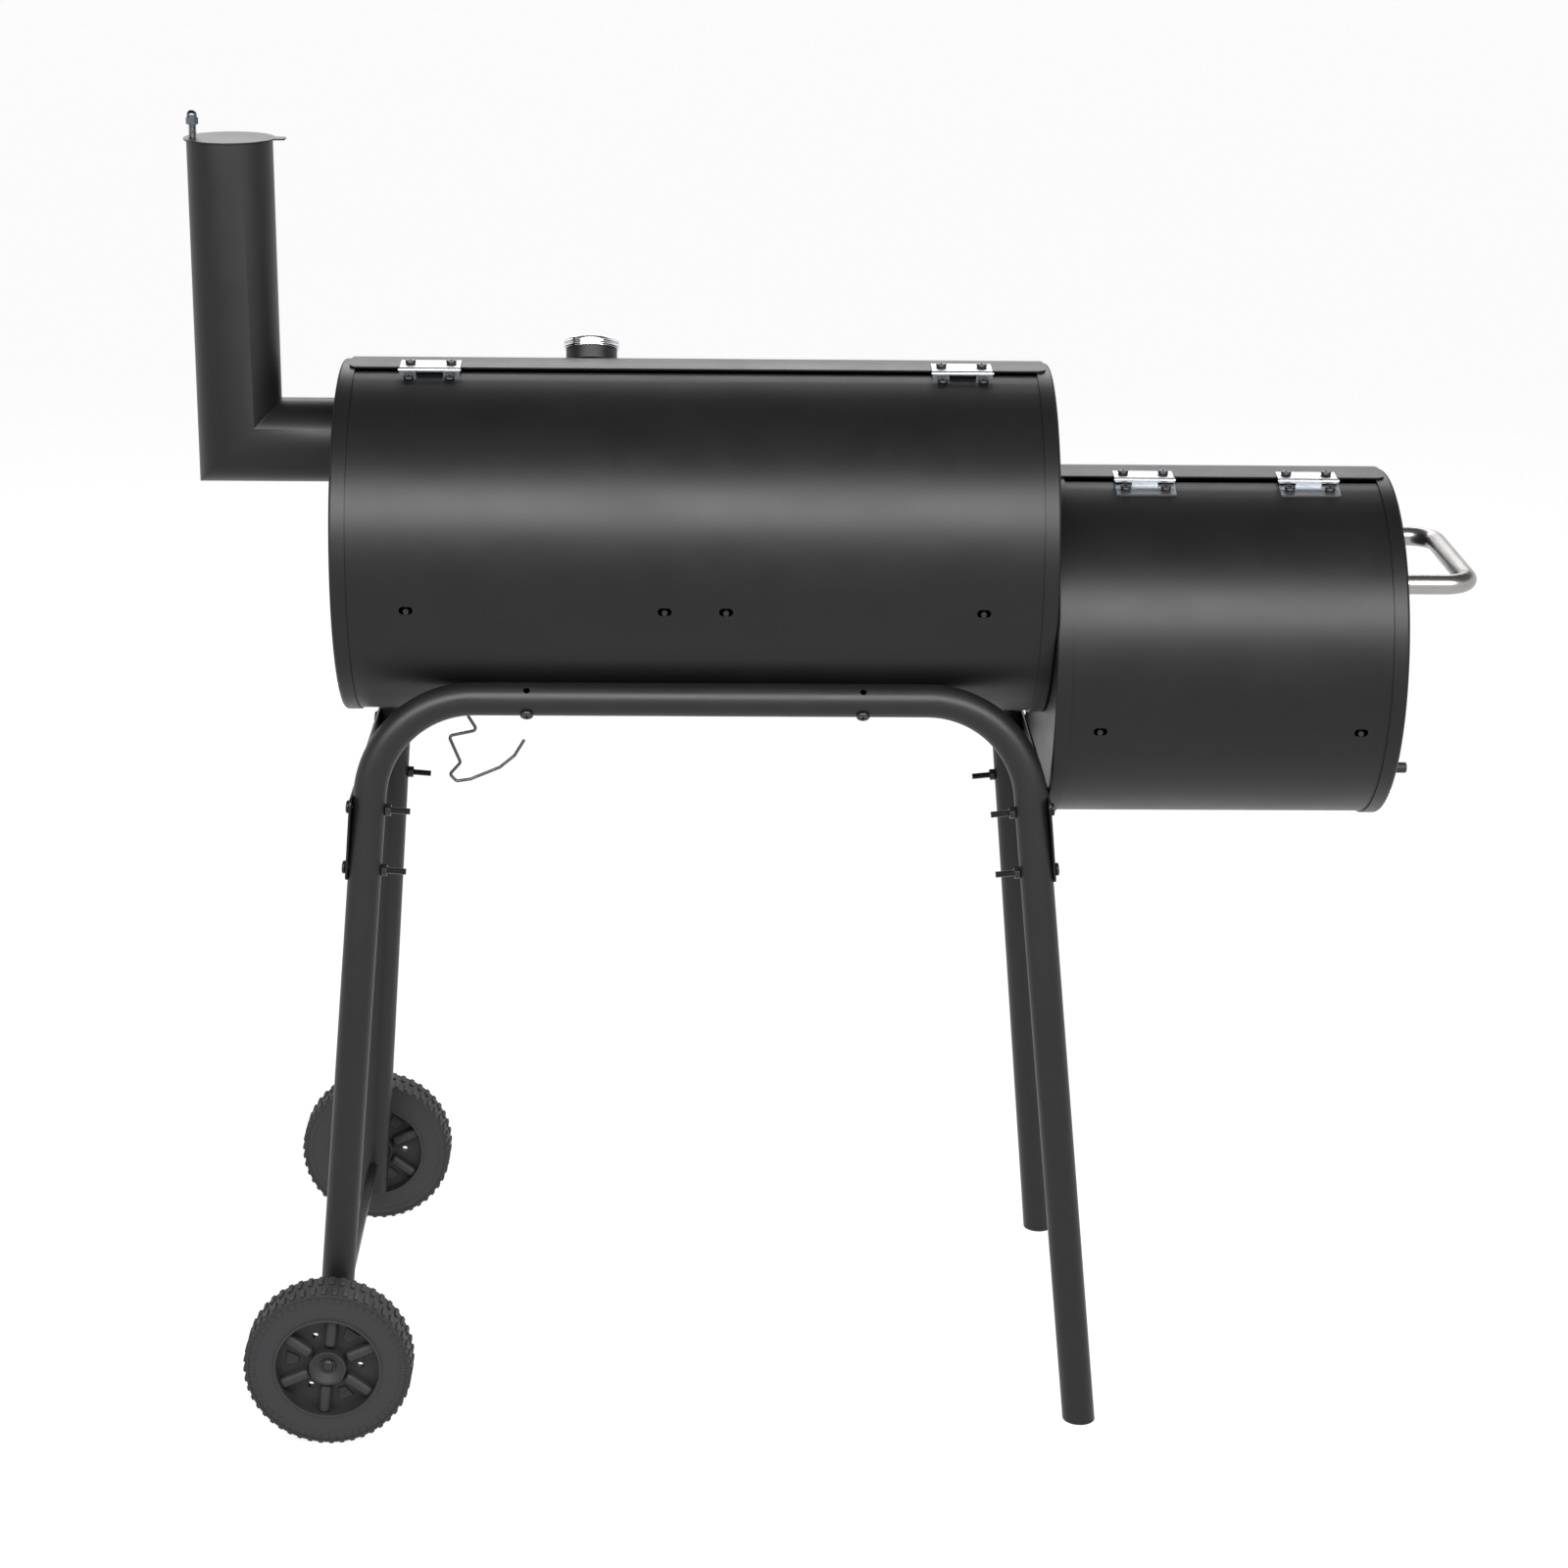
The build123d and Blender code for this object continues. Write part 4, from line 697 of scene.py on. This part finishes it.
# ---------------------------------------------------------------- wheels
@dataclass
class RoadWheel:
    """A one-piece moulded wheel with a lugged tread, six ribs and a ringed boss."""

    side: str
    radius: float = 76.5 * MM
    lug_height: float = 2.0 * MM
    width: float = 37.0 * MM
    shoulder: float = 1.2 * MM
    ring_step: float = 0.7 * MM
    ring_width: float = 1.3 * MM
    ring_drop: float = 1.3 * MM  # from the ring's top to the marked band inside it
    bead_radius: float = 66.0 * MM
    bead_drop: float = 0.5 * MM
    recess_radius: float = 47.0 * MM
    recess_depth: float = 14.0 * MM
    lip_width: float = 2.4 * MM
    lip_height: float = 1.2 * MM
    boss_radius: float = 16.6 * MM
    boss_step: float = 1.0 * MM
    boss_rim: float = 1.5 * MM
    boss_rim_step: float = 1.0 * MM
    boss_dish: float = 6.0 * MM
    axle_hole: float = 4.7 * MM
    axle_hole_depth: float = 9.0 * MM
    rib_width: float = 10.5 * MM
    rib_step: float = 4.5 * MM
    rib_gap: float = 1.6 * MM
    rib_root: float = 1.5 * MM  # how far a rib runs into the rim
    rib_rounding: float = 0.42  # of its width
    rib_facets: int = 5
    rib_count: int = 6
    hole_circle: float = 28.6 * MM
    hole_radius: float = 3.1 * MM
    hole_count: int = 3
    hole_sides: int = 24
    pad_radius: float = 33.0 * MM
    pad_length: float = 12.0 * MM
    pad_width: float = 15.0 * MM
    pad_taper: float = 0.45
    pad_rise: float = 0.8 * MM
    pad_edge: float = 0.7 * MM
    lug_count: int = 48
    lug_fill: float = 0.44  # of the pitch
    lug_length: float = 0.36  # of the wheel's width, as is the place of its middle
    lug_middle: float = 0.27
    lug_depth: float = 2.4  # of its height over the tread
    lug_sink: float = 0.22
    edge: float = 0.5 * MM
    mark_count: int = 60
    mark_length: float = 4.6 * MM
    mark_width: float = 1.1 * MM
    mark_depth: float = 1.6 * MM
    mark_inset: float = 3.2 * MM
    mark_edge: float = 0.25 * MM
    sides: int = 144
    rolled: float = -6.5  # degrees it has rolled about its axle

    def step_cap(self, disc: bpy.types.Object, way: int) -> None:
        """Shapes one face of the wheel by insets and extrusions, from the tread to the hub.

        Args:
            disc: The wheel's plain disc, lying flat.
            way: One for its top face, minus one for its bottom face.
        """
        base = self.radius - self.lug_height
        face_z = way * (self.width / 2 - self.ring_step)
        pick_faces(disc, lambda c, n: n.z * way > 0.9 and abs(c.z - face_z) < 1e-4)
        inset(self.shoulder)
        extrude((0, 0, way * self.ring_step))
        inset(self.ring_width)
        extrude((0, 0, -way * self.ring_drop))
        inset(base - self.shoulder - self.ring_width - self.bead_radius)
        extrude((0, 0, -way * self.bead_drop))
        inset(self.bead_radius - self.recess_radius - self.lip_width)
        extrude((0, 0, way * self.lip_height))
        inset(self.lip_width)
        extrude((0, 0, -way * self.recess_depth))
        inset(self.recess_radius - self.boss_radius)
        extrude((0, 0, way * (self.recess_depth - self.boss_step)))
        inset(self.boss_rim)
        extrude((0, 0, -way * self.boss_rim_step))
        inset(self.boss_radius - self.boss_rim - self.axle_hole, -self.boss_dish)
        extrude((0, 0, -way * self.axle_hole_depth))
        leave_edit()

    def lugs(self) -> list[bpy.types.Object]:
        """Models one tread lug and copies it round both shoulders, a half pitch apart.

        Returns:
            The lugs.
        """
        base = self.radius - self.lug_height
        pitch = 2 * math.pi / self.lug_count
        size = (
            self.lug_height * self.lug_depth,
            base * pitch * self.lug_fill,
            self.width * self.lug_length,
        )
        middle_radius = base - self.lug_height * self.lug_sink
        lug = block(size, (middle_radius, 0, self.width * self.lug_middle))
        apply_all(lug)
        bevel(lug, self.edge, 1)
        made = []
        for number in range(self.lug_count):
            made.append(copied(lug, Matrix.Rotation(number * pitch, 4, "Z")))
            other = Matrix.Rotation((number + 0.5) * pitch, 4, "Z") @ Matrix.Scale(-1, 4, (0, 0, 1))
            made.append(copied(lug, other))
            made[-1].data.flip_normals()
        bpy.data.objects.remove(lug)
        return made

    def sidewall_marks(self) -> list[bpy.types.Object]:
        """Models the short raised marks inside the outer sidewall's ring.

        Returns:
            The marks.
        """
        face_z = self.width / 2 - self.ring_drop
        size = (self.mark_length, self.mark_width, self.mark_depth)
        mark = block(size, (self.bead_radius + self.mark_inset, 0, face_z))
        apply_all(mark)
        bevel(mark, self.mark_edge, 1)
        return self.spread(mark, self.mark_count)

    def spread(
        self, pattern: bpy.types.Object, count: int, start: float = 0.0
    ) -> list[bpy.types.Object]:
        """Copies a pattern evenly about the axle and removes the pattern.

        Args:
            pattern: The piece modelled once.
            count: How many copies to make.
            start: The first copy's turn in degrees.

        Returns:
            The copies.
        """
        made = [
            copied(pattern, Matrix.Rotation(math.radians(start) + n * math.tau / count, 4, "Z"))
            for n in range(count)
        ]
        bpy.data.objects.remove(pattern)
        return made

    def ribs(self) -> list[bpy.types.Object]:
        """Models one round-topped rib, its inner end stopping short of the boss, and copies it.

        Returns:
            The ribs.
        """
        inner = self.boss_radius + self.rib_gap
        length = self.recess_radius + self.rib_root - inner
        height = self.width - 2 * self.rib_step
        rib = block((length, self.rib_width, height), (inner + length / 2, 0, 0))
        apply_all(rib)
        bevel(rib, self.rib_width * self.rib_rounding, self.rib_facets)
        return self.spread(rib, self.rib_count, 180 / self.rib_count)

    def pads(self) -> list[bpy.types.Object]:
        """Models the raised pads in the sectors that have no hole, on both sides of the web.

        Returns:
            The pads.
        """
        web = self.width - 2 * self.recess_depth
        size = (self.pad_length, self.pad_width, web + 2 * self.pad_rise)
        pad = block(size, (self.pad_radius, 0, 0))
        apply_all(pad)
        pick_faces(pad, lambda c, n: n.x < -0.9)
        bpy.ops.transform.resize(value=(1, self.pad_taper, 1))
        leave_edit()
        bevel(pad, self.pad_edge, 2)
        return self.spread(pad, self.hole_count)

    def build(self) -> None:
        """Builds the wheel lying flat, stands it on its axle and dresses it."""
        node = f"wheel_{self.side}"
        depth = self.width - 2 * self.ring_step
        disc = cylinder(self.radius - self.lug_height, depth, (0, 0, 0), self.sides)
        for way in (1, -1):
            self.step_cap(disc, way)
        bevel(disc, self.edge, 2, 40)
        for number in range(self.hole_count):
            turn = math.pi + number * math.tau / self.hole_count
            spot = (self.hole_circle * math.cos(turn), self.hole_circle * math.sin(turn), 0)
            cut(disc, cylinder(self.hole_radius, self.width, spot, self.hole_sides))
        parts = [disc, *self.ribs(), *self.pads(), *self.lugs(), *self.sidewall_marks()]
        wheel = join(f"{node}_moulded", parts)
        outward = 1 if middle(node).y > 0 else -1
        rolled = Matrix.Rotation(math.radians(self.rolled * outward), 4, "Z")
        stand = Matrix.Rotation(math.radians(-90 * outward), 4, "X") @ rolled
        wheel.data.transform(Matrix.Translation(middle(node)) @ stand)
        dress(wheel, POLYPROPYLENE, body_of(node), [node, f"wheel_cap_{self.side}"])


# ---------------------------------------------------------------- screws and bolts
@dataclass
class DomedBolt:
    """A domed cross-recess bolt with a rolled thread, copied to each place in a node."""

    node: str
    head_radius: float
    head_height: float
    shank_radius: float
    thread_length: float
    thread_pitch: float = 1.0 * MM
    thread_root: float = 0.86  # of the shank's radius
    dome: float = 0.7  # of the head's height
    recess_length: float = 1.1  # of the head's radius, as is its width
    recess_width: float = 0.2
    head_sides: int = 32
    shank_sides: int = 16

    def head(self) -> bpy.types.Object:
        """Models the domed head, its flat side on the ground plane, with a cross recess.

        Returns:
            The head.
        """
        place = (0, 0, self.head_height / 2)
        head = cylinder(self.head_radius, self.head_height, place, self.head_sides)
        apply_all(head)
        bevel(head, self.head_height * self.dome, 4, 60)
        length = self.head_radius * self.recess_length
        for turn in (0.0, math.pi / 2):
            size = (length, self.head_radius * self.recess_width, self.head_height)
            cutter = block(size, (0, 0, self.head_height), turn)
            apply_all(cutter)
            cut(head, cutter)
        return head

    def shank(self, length: float) -> bpy.types.Object:
        """Models the shank below the head, plain at first and then threaded.

        Args:
            length: The whole shank's length.

        Returns:
            The shank.
        """
        plain = length - self.thread_length
        shank = cylinder(self.shank_radius, plain, (0, 0, -plain / 2), self.shank_sides)
        apply_all(shank)
        pick_faces(shank, lambda c, n: n.z < -0.9)
        turns = int(self.thread_length / self.thread_pitch)
        for _ in range(turns):
            for scale in (self.thread_root, 1 / self.thread_root):
                extrude((0, 0, -self.thread_length / turns / 2))
                bpy.ops.transform.resize(value=(scale, scale, 1))
        leave_edit()
        return shank

    def build(self) -> None:
        """Builds one bolt and copies it to every place of the node's solids."""
        places = rod_places(self.node)
        length = places[0].high - places[0].low - self.head_height
        bolt = join("bolt_pattern", [self.head(), self.shank(length)])
        made = []
        for place in places:
            seat = place.centre + place.axis * (place.high - self.head_height)
            turn = Vector((0, 0, 1)).rotation_difference(place.axis).to_matrix().to_4x4()
            made.append(copied(bolt, Matrix.Translation(seat) @ turn))
        bpy.data.objects.remove(bolt)
        bolts = join(f"{self.node}_turned", made)
        slot = slot_of(self.node)
        dress(bolts, SLOT_FINISH[slot], body_of(self.node), [self.node])


# ---------------------------------------------------------------- temperature gauge
@dataclass
class Gauge:
    """The dial's printed marks, as thin raised ink, and the rings of the bezel."""

    sweep: float = 270.0
    major_marks: int = 10
    minor_per_major: int = 5
    start: float = 225.0  # the scale's first mark, in degrees about the dial's axis
    degrees_per_major: int = 50
    mark_radius: float = 18.5 * MM
    major_length: float = 4.2 * MM
    major_width: float = 0.7 * MM
    minor_length: float = 2.2 * MM
    minor_width: float = 0.35 * MM
    ink_height: float = 0.24 * MM
    figure_inset: float = 7.2 * MM
    figure_size: float = 3.4 * MM
    band_width: float = 1.3 * MM
    band_gap: float = 1.2 * MM
    band_steps: int = 40
    bezel_bore: float = 22.5 * MM
    bezel_height: float = 8.0 * MM
    bezel_profile: tuple[tuple[float, float], ...] = (
        (26.0, 1.4), (26.0, 2.8), (24.8, 3.4), (24.8, 4.2), (26.0, 4.8), (26.0, 7.2), (25.2, 8.0),
    )

    def axes(self) -> Matrix:
        """The dial's own axes: its middle on top, +Z outward and +X along the smoker.

        Returns:
            The move from the dial's axes to the frame's.
        """
        joint = next(j for j in frame["joints"] if j["name"] == "gauge_needle_sweep")
        out = -Vector(joint["axis"]).normalized()
        side = Vector((1, 0, 0))
        up = out.cross(side)
        low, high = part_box("gauge_dial")
        centre = (low + high) / 2 + out * 0.5 * MM
        return Matrix.Translation(centre) @ Matrix((side, up, out)).transposed().to_4x4()

    def marks(self) -> list[bpy.types.Object]:
        """Models the scale's marks, long at each major step.

        Returns:
            The marks, in the dial's axes.
        """
        total = self.major_marks * self.minor_per_major
        made = []
        for number in range(total + 1):
            long = number % self.minor_per_major == 0
            length = self.major_length if long else self.minor_length
            width = self.major_width if long else self.minor_width
            turn = math.radians(self.start - self.sweep * number / total)
            reach = self.mark_radius - length / 2
            spot = (reach * math.cos(turn), reach * math.sin(turn), self.ink_height / 3)
            mark = block((length, width, self.ink_height), spot, turn)
            apply_all(mark)
            made.append(mark)
        return made

    def numbers(self) -> list[bpy.types.Object]:
        """Models plain numbers at every second major mark.

        Returns:
            The numbers, in the dial's axes.
        """
        made = []
        for step in range(0, self.major_marks + 1, 2):
            turn = math.radians(self.start - self.sweep * step / self.major_marks)
            bpy.ops.object.select_all(action="DESELECT")
            reach = self.mark_radius - self.figure_inset
            thick = self.ink_height / 4
            bpy.ops.object.text_add(location=(reach * math.cos(turn), reach * math.sin(turn), thick))
            figure = bpy.context.object
            figure.data.body = str(step * self.degrees_per_major)
            figure.data.size = self.figure_size
            figure.data.align_x = "CENTER"
            figure.data.align_y = "CENTER"
            figure.data.extrude = thick
            activate(figure)
            bpy.ops.object.convert(target="MESH")
            apply_all(bpy.context.object)
            made.append(bpy.context.object)
        return made

    def band(self, start: float, stop: float, name: str, finish: Finish) -> None:
        """Models one coloured band of the scale as a thin spun strip.

        Args:
            start: Where it starts, in degrees of sweep.
            stop: Where it stops.
            name: Its name.
            finish: Its printed colour.
        """
        place = (self.mark_radius + self.band_gap, 0, 0.05 * MM)
        strip = block((self.band_width, 0.02 * MM, 0.16 * MM), place)
        strip.name = name
        apply_all(strip)
        turn = math.radians(self.start - stop)
        strip.data.transform(Matrix.Rotation(turn, 4, "Z"))
        normal = Vector((-math.sin(turn), math.cos(turn), 0))
        pick_faces(strip, lambda c, n: n.dot(normal) > 0.9)
        bpy.ops.mesh.spin(
            steps=self.band_steps, angle=math.radians(stop - start), center=(0, 0, 0), axis=(0, 0, 1)
        )
        bpy.ops.mesh.select_all(action="SELECT")
        bpy.ops.mesh.normals_make_consistent(inside=False)
        leave_edit()
        strip.data.transform(self.axes())
        dress(strip, finish, "main_lid")

    def bezel(self) -> None:
        """Models the bezel as two rolled rings with a groove between them, bored through."""
        radius, height = self.bezel_profile[-1][0], 0.6
        ring = cylinder(radius * MM, height * MM, (0, 0, height * MM / 2), 96)
        apply_all(ring)
        pick_faces(ring, lambda c, n: n.z > 0.9)
        for reach, top in self.bezel_profile:
            extrude((0, 0, (top - height) * MM))
            bpy.ops.transform.resize(value=(reach / radius, reach / radius, 1))
            radius, height = reach, top
        leave_edit()
        bevel(ring, 0.25 * MM, 2, 25)
        cut(ring, cylinder(self.bezel_bore, 4 * self.bezel_height, (0, 0, 0), 96))
        turned = self.axes()
        turned.translation = middle("gauge_bezel") - turned.col[2].to_3d() * self.bezel_height / 2
        ring.data.transform(turned)
        ring.name = "gauge_bezel_turned"
        dress(ring, CHROME, "main_lid", ["gauge_bezel"])

    def build(self) -> None:
        """Builds the marks, the figures, the bands and the bezel, and eases the body."""
        print_work = join("gauge_scale", [*self.marks(), *self.numbers()])
        print_work.data.transform(self.axes())
        dress(print_work, DIAL_INK, "main_lid")
        self.band(40, 120, "gauge_band_low", DIAL_GREEN)
        self.band(122, 200, "gauge_band_high", DIAL_AMBER)
        self.bezel()
        softened("gauge_body", 0.4 * MM)


# ---------------------------------------------------------------- nodes kept as they are
@dataclass
class FrameNodes:
    """Frame nodes whose shape is right, which only need their finish."""

    def build(self) -> None:
        """Gives every node that still shows its finish."""
        for name, node in frame["nodes"].items():
            if node.hide_render:
                continue
            node.data.materials.clear()
            finish = NODE_FINISH.get(name, SLOT_FINISH[slot_of(name)])
            node.data.materials.append(finish.material())
            LOG.info("%s: kept", name)


# ---------------------------------------------------------------- studio
@dataclass(frozen=True)
class SoftLight:
    """One soft rectangular light that faces a point, and stays out of the camera's sight."""

    name: str
    place: tuple[float, float, float]
    target: tuple[float, float, float]
    size: tuple[float, float]
    power: float

    def hang(self) -> None:
        """Hangs the light."""
        lamp = bpy.data.lights.new(self.name, "AREA")
        lamp.shape = "RECTANGLE"
        lamp.size, lamp.size_y = self.size
        lamp.energy = self.power
        holder = bpy.data.objects.new(self.name, lamp)
        bpy.context.scene.collection.objects.link(holder)
        holder.location = self.place
        away = Vector(self.place) - Vector(self.target)
        holder.rotation_euler = away.to_track_quat("Z", "Y").to_euler()
        holder.visible_camera = False


@dataclass
class Studio:
    """A white sweep, soft lights and the camera behind the smoker."""

    camera_u: float = -9.0 * MM
    camera_y: float = 3.052
    camera_z: float = 1.5484
    pitch: float = 18.038
    yaw: float = 1.397
    roll: float = 0.677
    lens: float = 78.33
    wall_top: float = 0.12
    ceiling_start: float = 0.5
    wall_light: float = 1.12
    ceiling_light: float = 0.12
    floor_size: float = 80.0
    lights: tuple[SoftLight, ...] = (
        SoftLight("softbox", (0.1, 1.3, 1.6), (0.1, 0.12, 0.84), (3.4, 0.6), 96),
        SoftLight("front_fill", (0, -3.0, 2.6), (0, 0, 0.6), (3.0, 1.2), 50),
    )

    def floor(self) -> None:
        """Lays the pale floor."""
        bpy.ops.object.select_all(action="DESELECT")
        bpy.ops.mesh.primitive_plane_add(size=self.floor_size, location=(0, 0, 0))
        ground = bpy.context.object
        ground.name = "floor"
        ground.data.materials.append(SWEEP.material())

    def camera(self) -> None:
        """Stands the camera and aims it by its pitch, yaw and roll."""
        pitch, yaw, roll = (math.radians(a) for a in (self.pitch, self.yaw, self.roll))
        ahead = Vector(
            (-math.sin(yaw) * math.cos(pitch), -math.cos(yaw) * math.cos(pitch), -math.sin(pitch))
        )
        right = Vector((-math.cos(yaw), math.sin(yaw), 0))
        up = right.cross(ahead)
        tilted_right = right * math.cos(roll) + up * math.sin(roll)
        tilted_up = up * math.cos(roll) - right * math.sin(roll)
        lens = bpy.data.cameras.new("camera")
        lens.lens = self.lens
        lens.sensor_width = 36
        lens.clip_end = 200
        holder = bpy.data.objects.new("camera", lens)
        bpy.context.scene.collection.objects.link(holder)
        barrel = middle("barrel_shell")
        turn = Matrix((tilted_right, tilted_up, -ahead)).transposed().to_4x4()
        place = Vector((barrel.x + self.camera_u, self.camera_y, self.camera_z))
        holder.matrix_world = Matrix.Translation(place) @ turn
        bpy.context.scene.camera = holder

    def world(self) -> None:
        """Fills the room: white walls low down, fading to a dark ceiling."""
        sky = bpy.data.worlds.new("studio")
        sky.use_nodes = True
        tree = sky.node_tree
        place = add_node(tree, "ShaderNodeTexCoord", {}, {})
        height = add_node(
            tree, "ShaderNodeSeparateXYZ", {}, {"Vector": place.outputs["Generated"]}
        )
        fade = add_node(
            tree,
            "ShaderNodeMapRange",
            {
                "interpolation_type": "SMOOTHSTEP",
                "From Min": self.wall_top,
                "From Max": self.ceiling_start,
                "To Min": self.wall_light,
                "To Max": self.ceiling_light,
            },
            {"Value": height.outputs["Z"]},
        )
        background = tree.nodes["Background"]
        background.inputs["Color"].default_value = (1, 1, 1, 1)
        tree.links.new(fade.outputs["Result"], background.inputs["Strength"])
        bpy.context.scene.world = sky

    def build(self) -> None:
        """Builds the floor, the lights and the camera, and keeps the plain display curve."""
        self.floor()
        self.world()
        for light in self.lights:
            light.hang()
        self.camera()
        bpy.context.scene.view_settings.view_transform = "Standard"


def main() -> None:
    """Builds the studio, then each sub-assembly in order."""
    logging.basicConfig(level=logging.INFO, format="%(name)s %(message)s")
    Studio().build()
    SheetMetal().build()
    for side in ("rear", "front"):
        RoadWheel(side).build()
    for node, thread in (("strap_bolts", 26 * MM), ("barrel_bolts", 12 * MM)):
        DomedBolt(
            node, head_radius=6 * MM, head_height=3.6 * MM, shank_radius=3 * MM, thread_length=thread
        ).build()
    for node in ("fixed_leaf_screws", "main_leaf_screws", "firebox_leaf_screws"):
        DomedBolt(
            node, head_radius=4.8 * MM, head_height=2.88 * MM, shank_radius=2 * MM,
            thread_length=5 * MM,
        ).build()
    Gauge().build()
    FrameNodes().build()


if __name__ == "__main__":
    main()
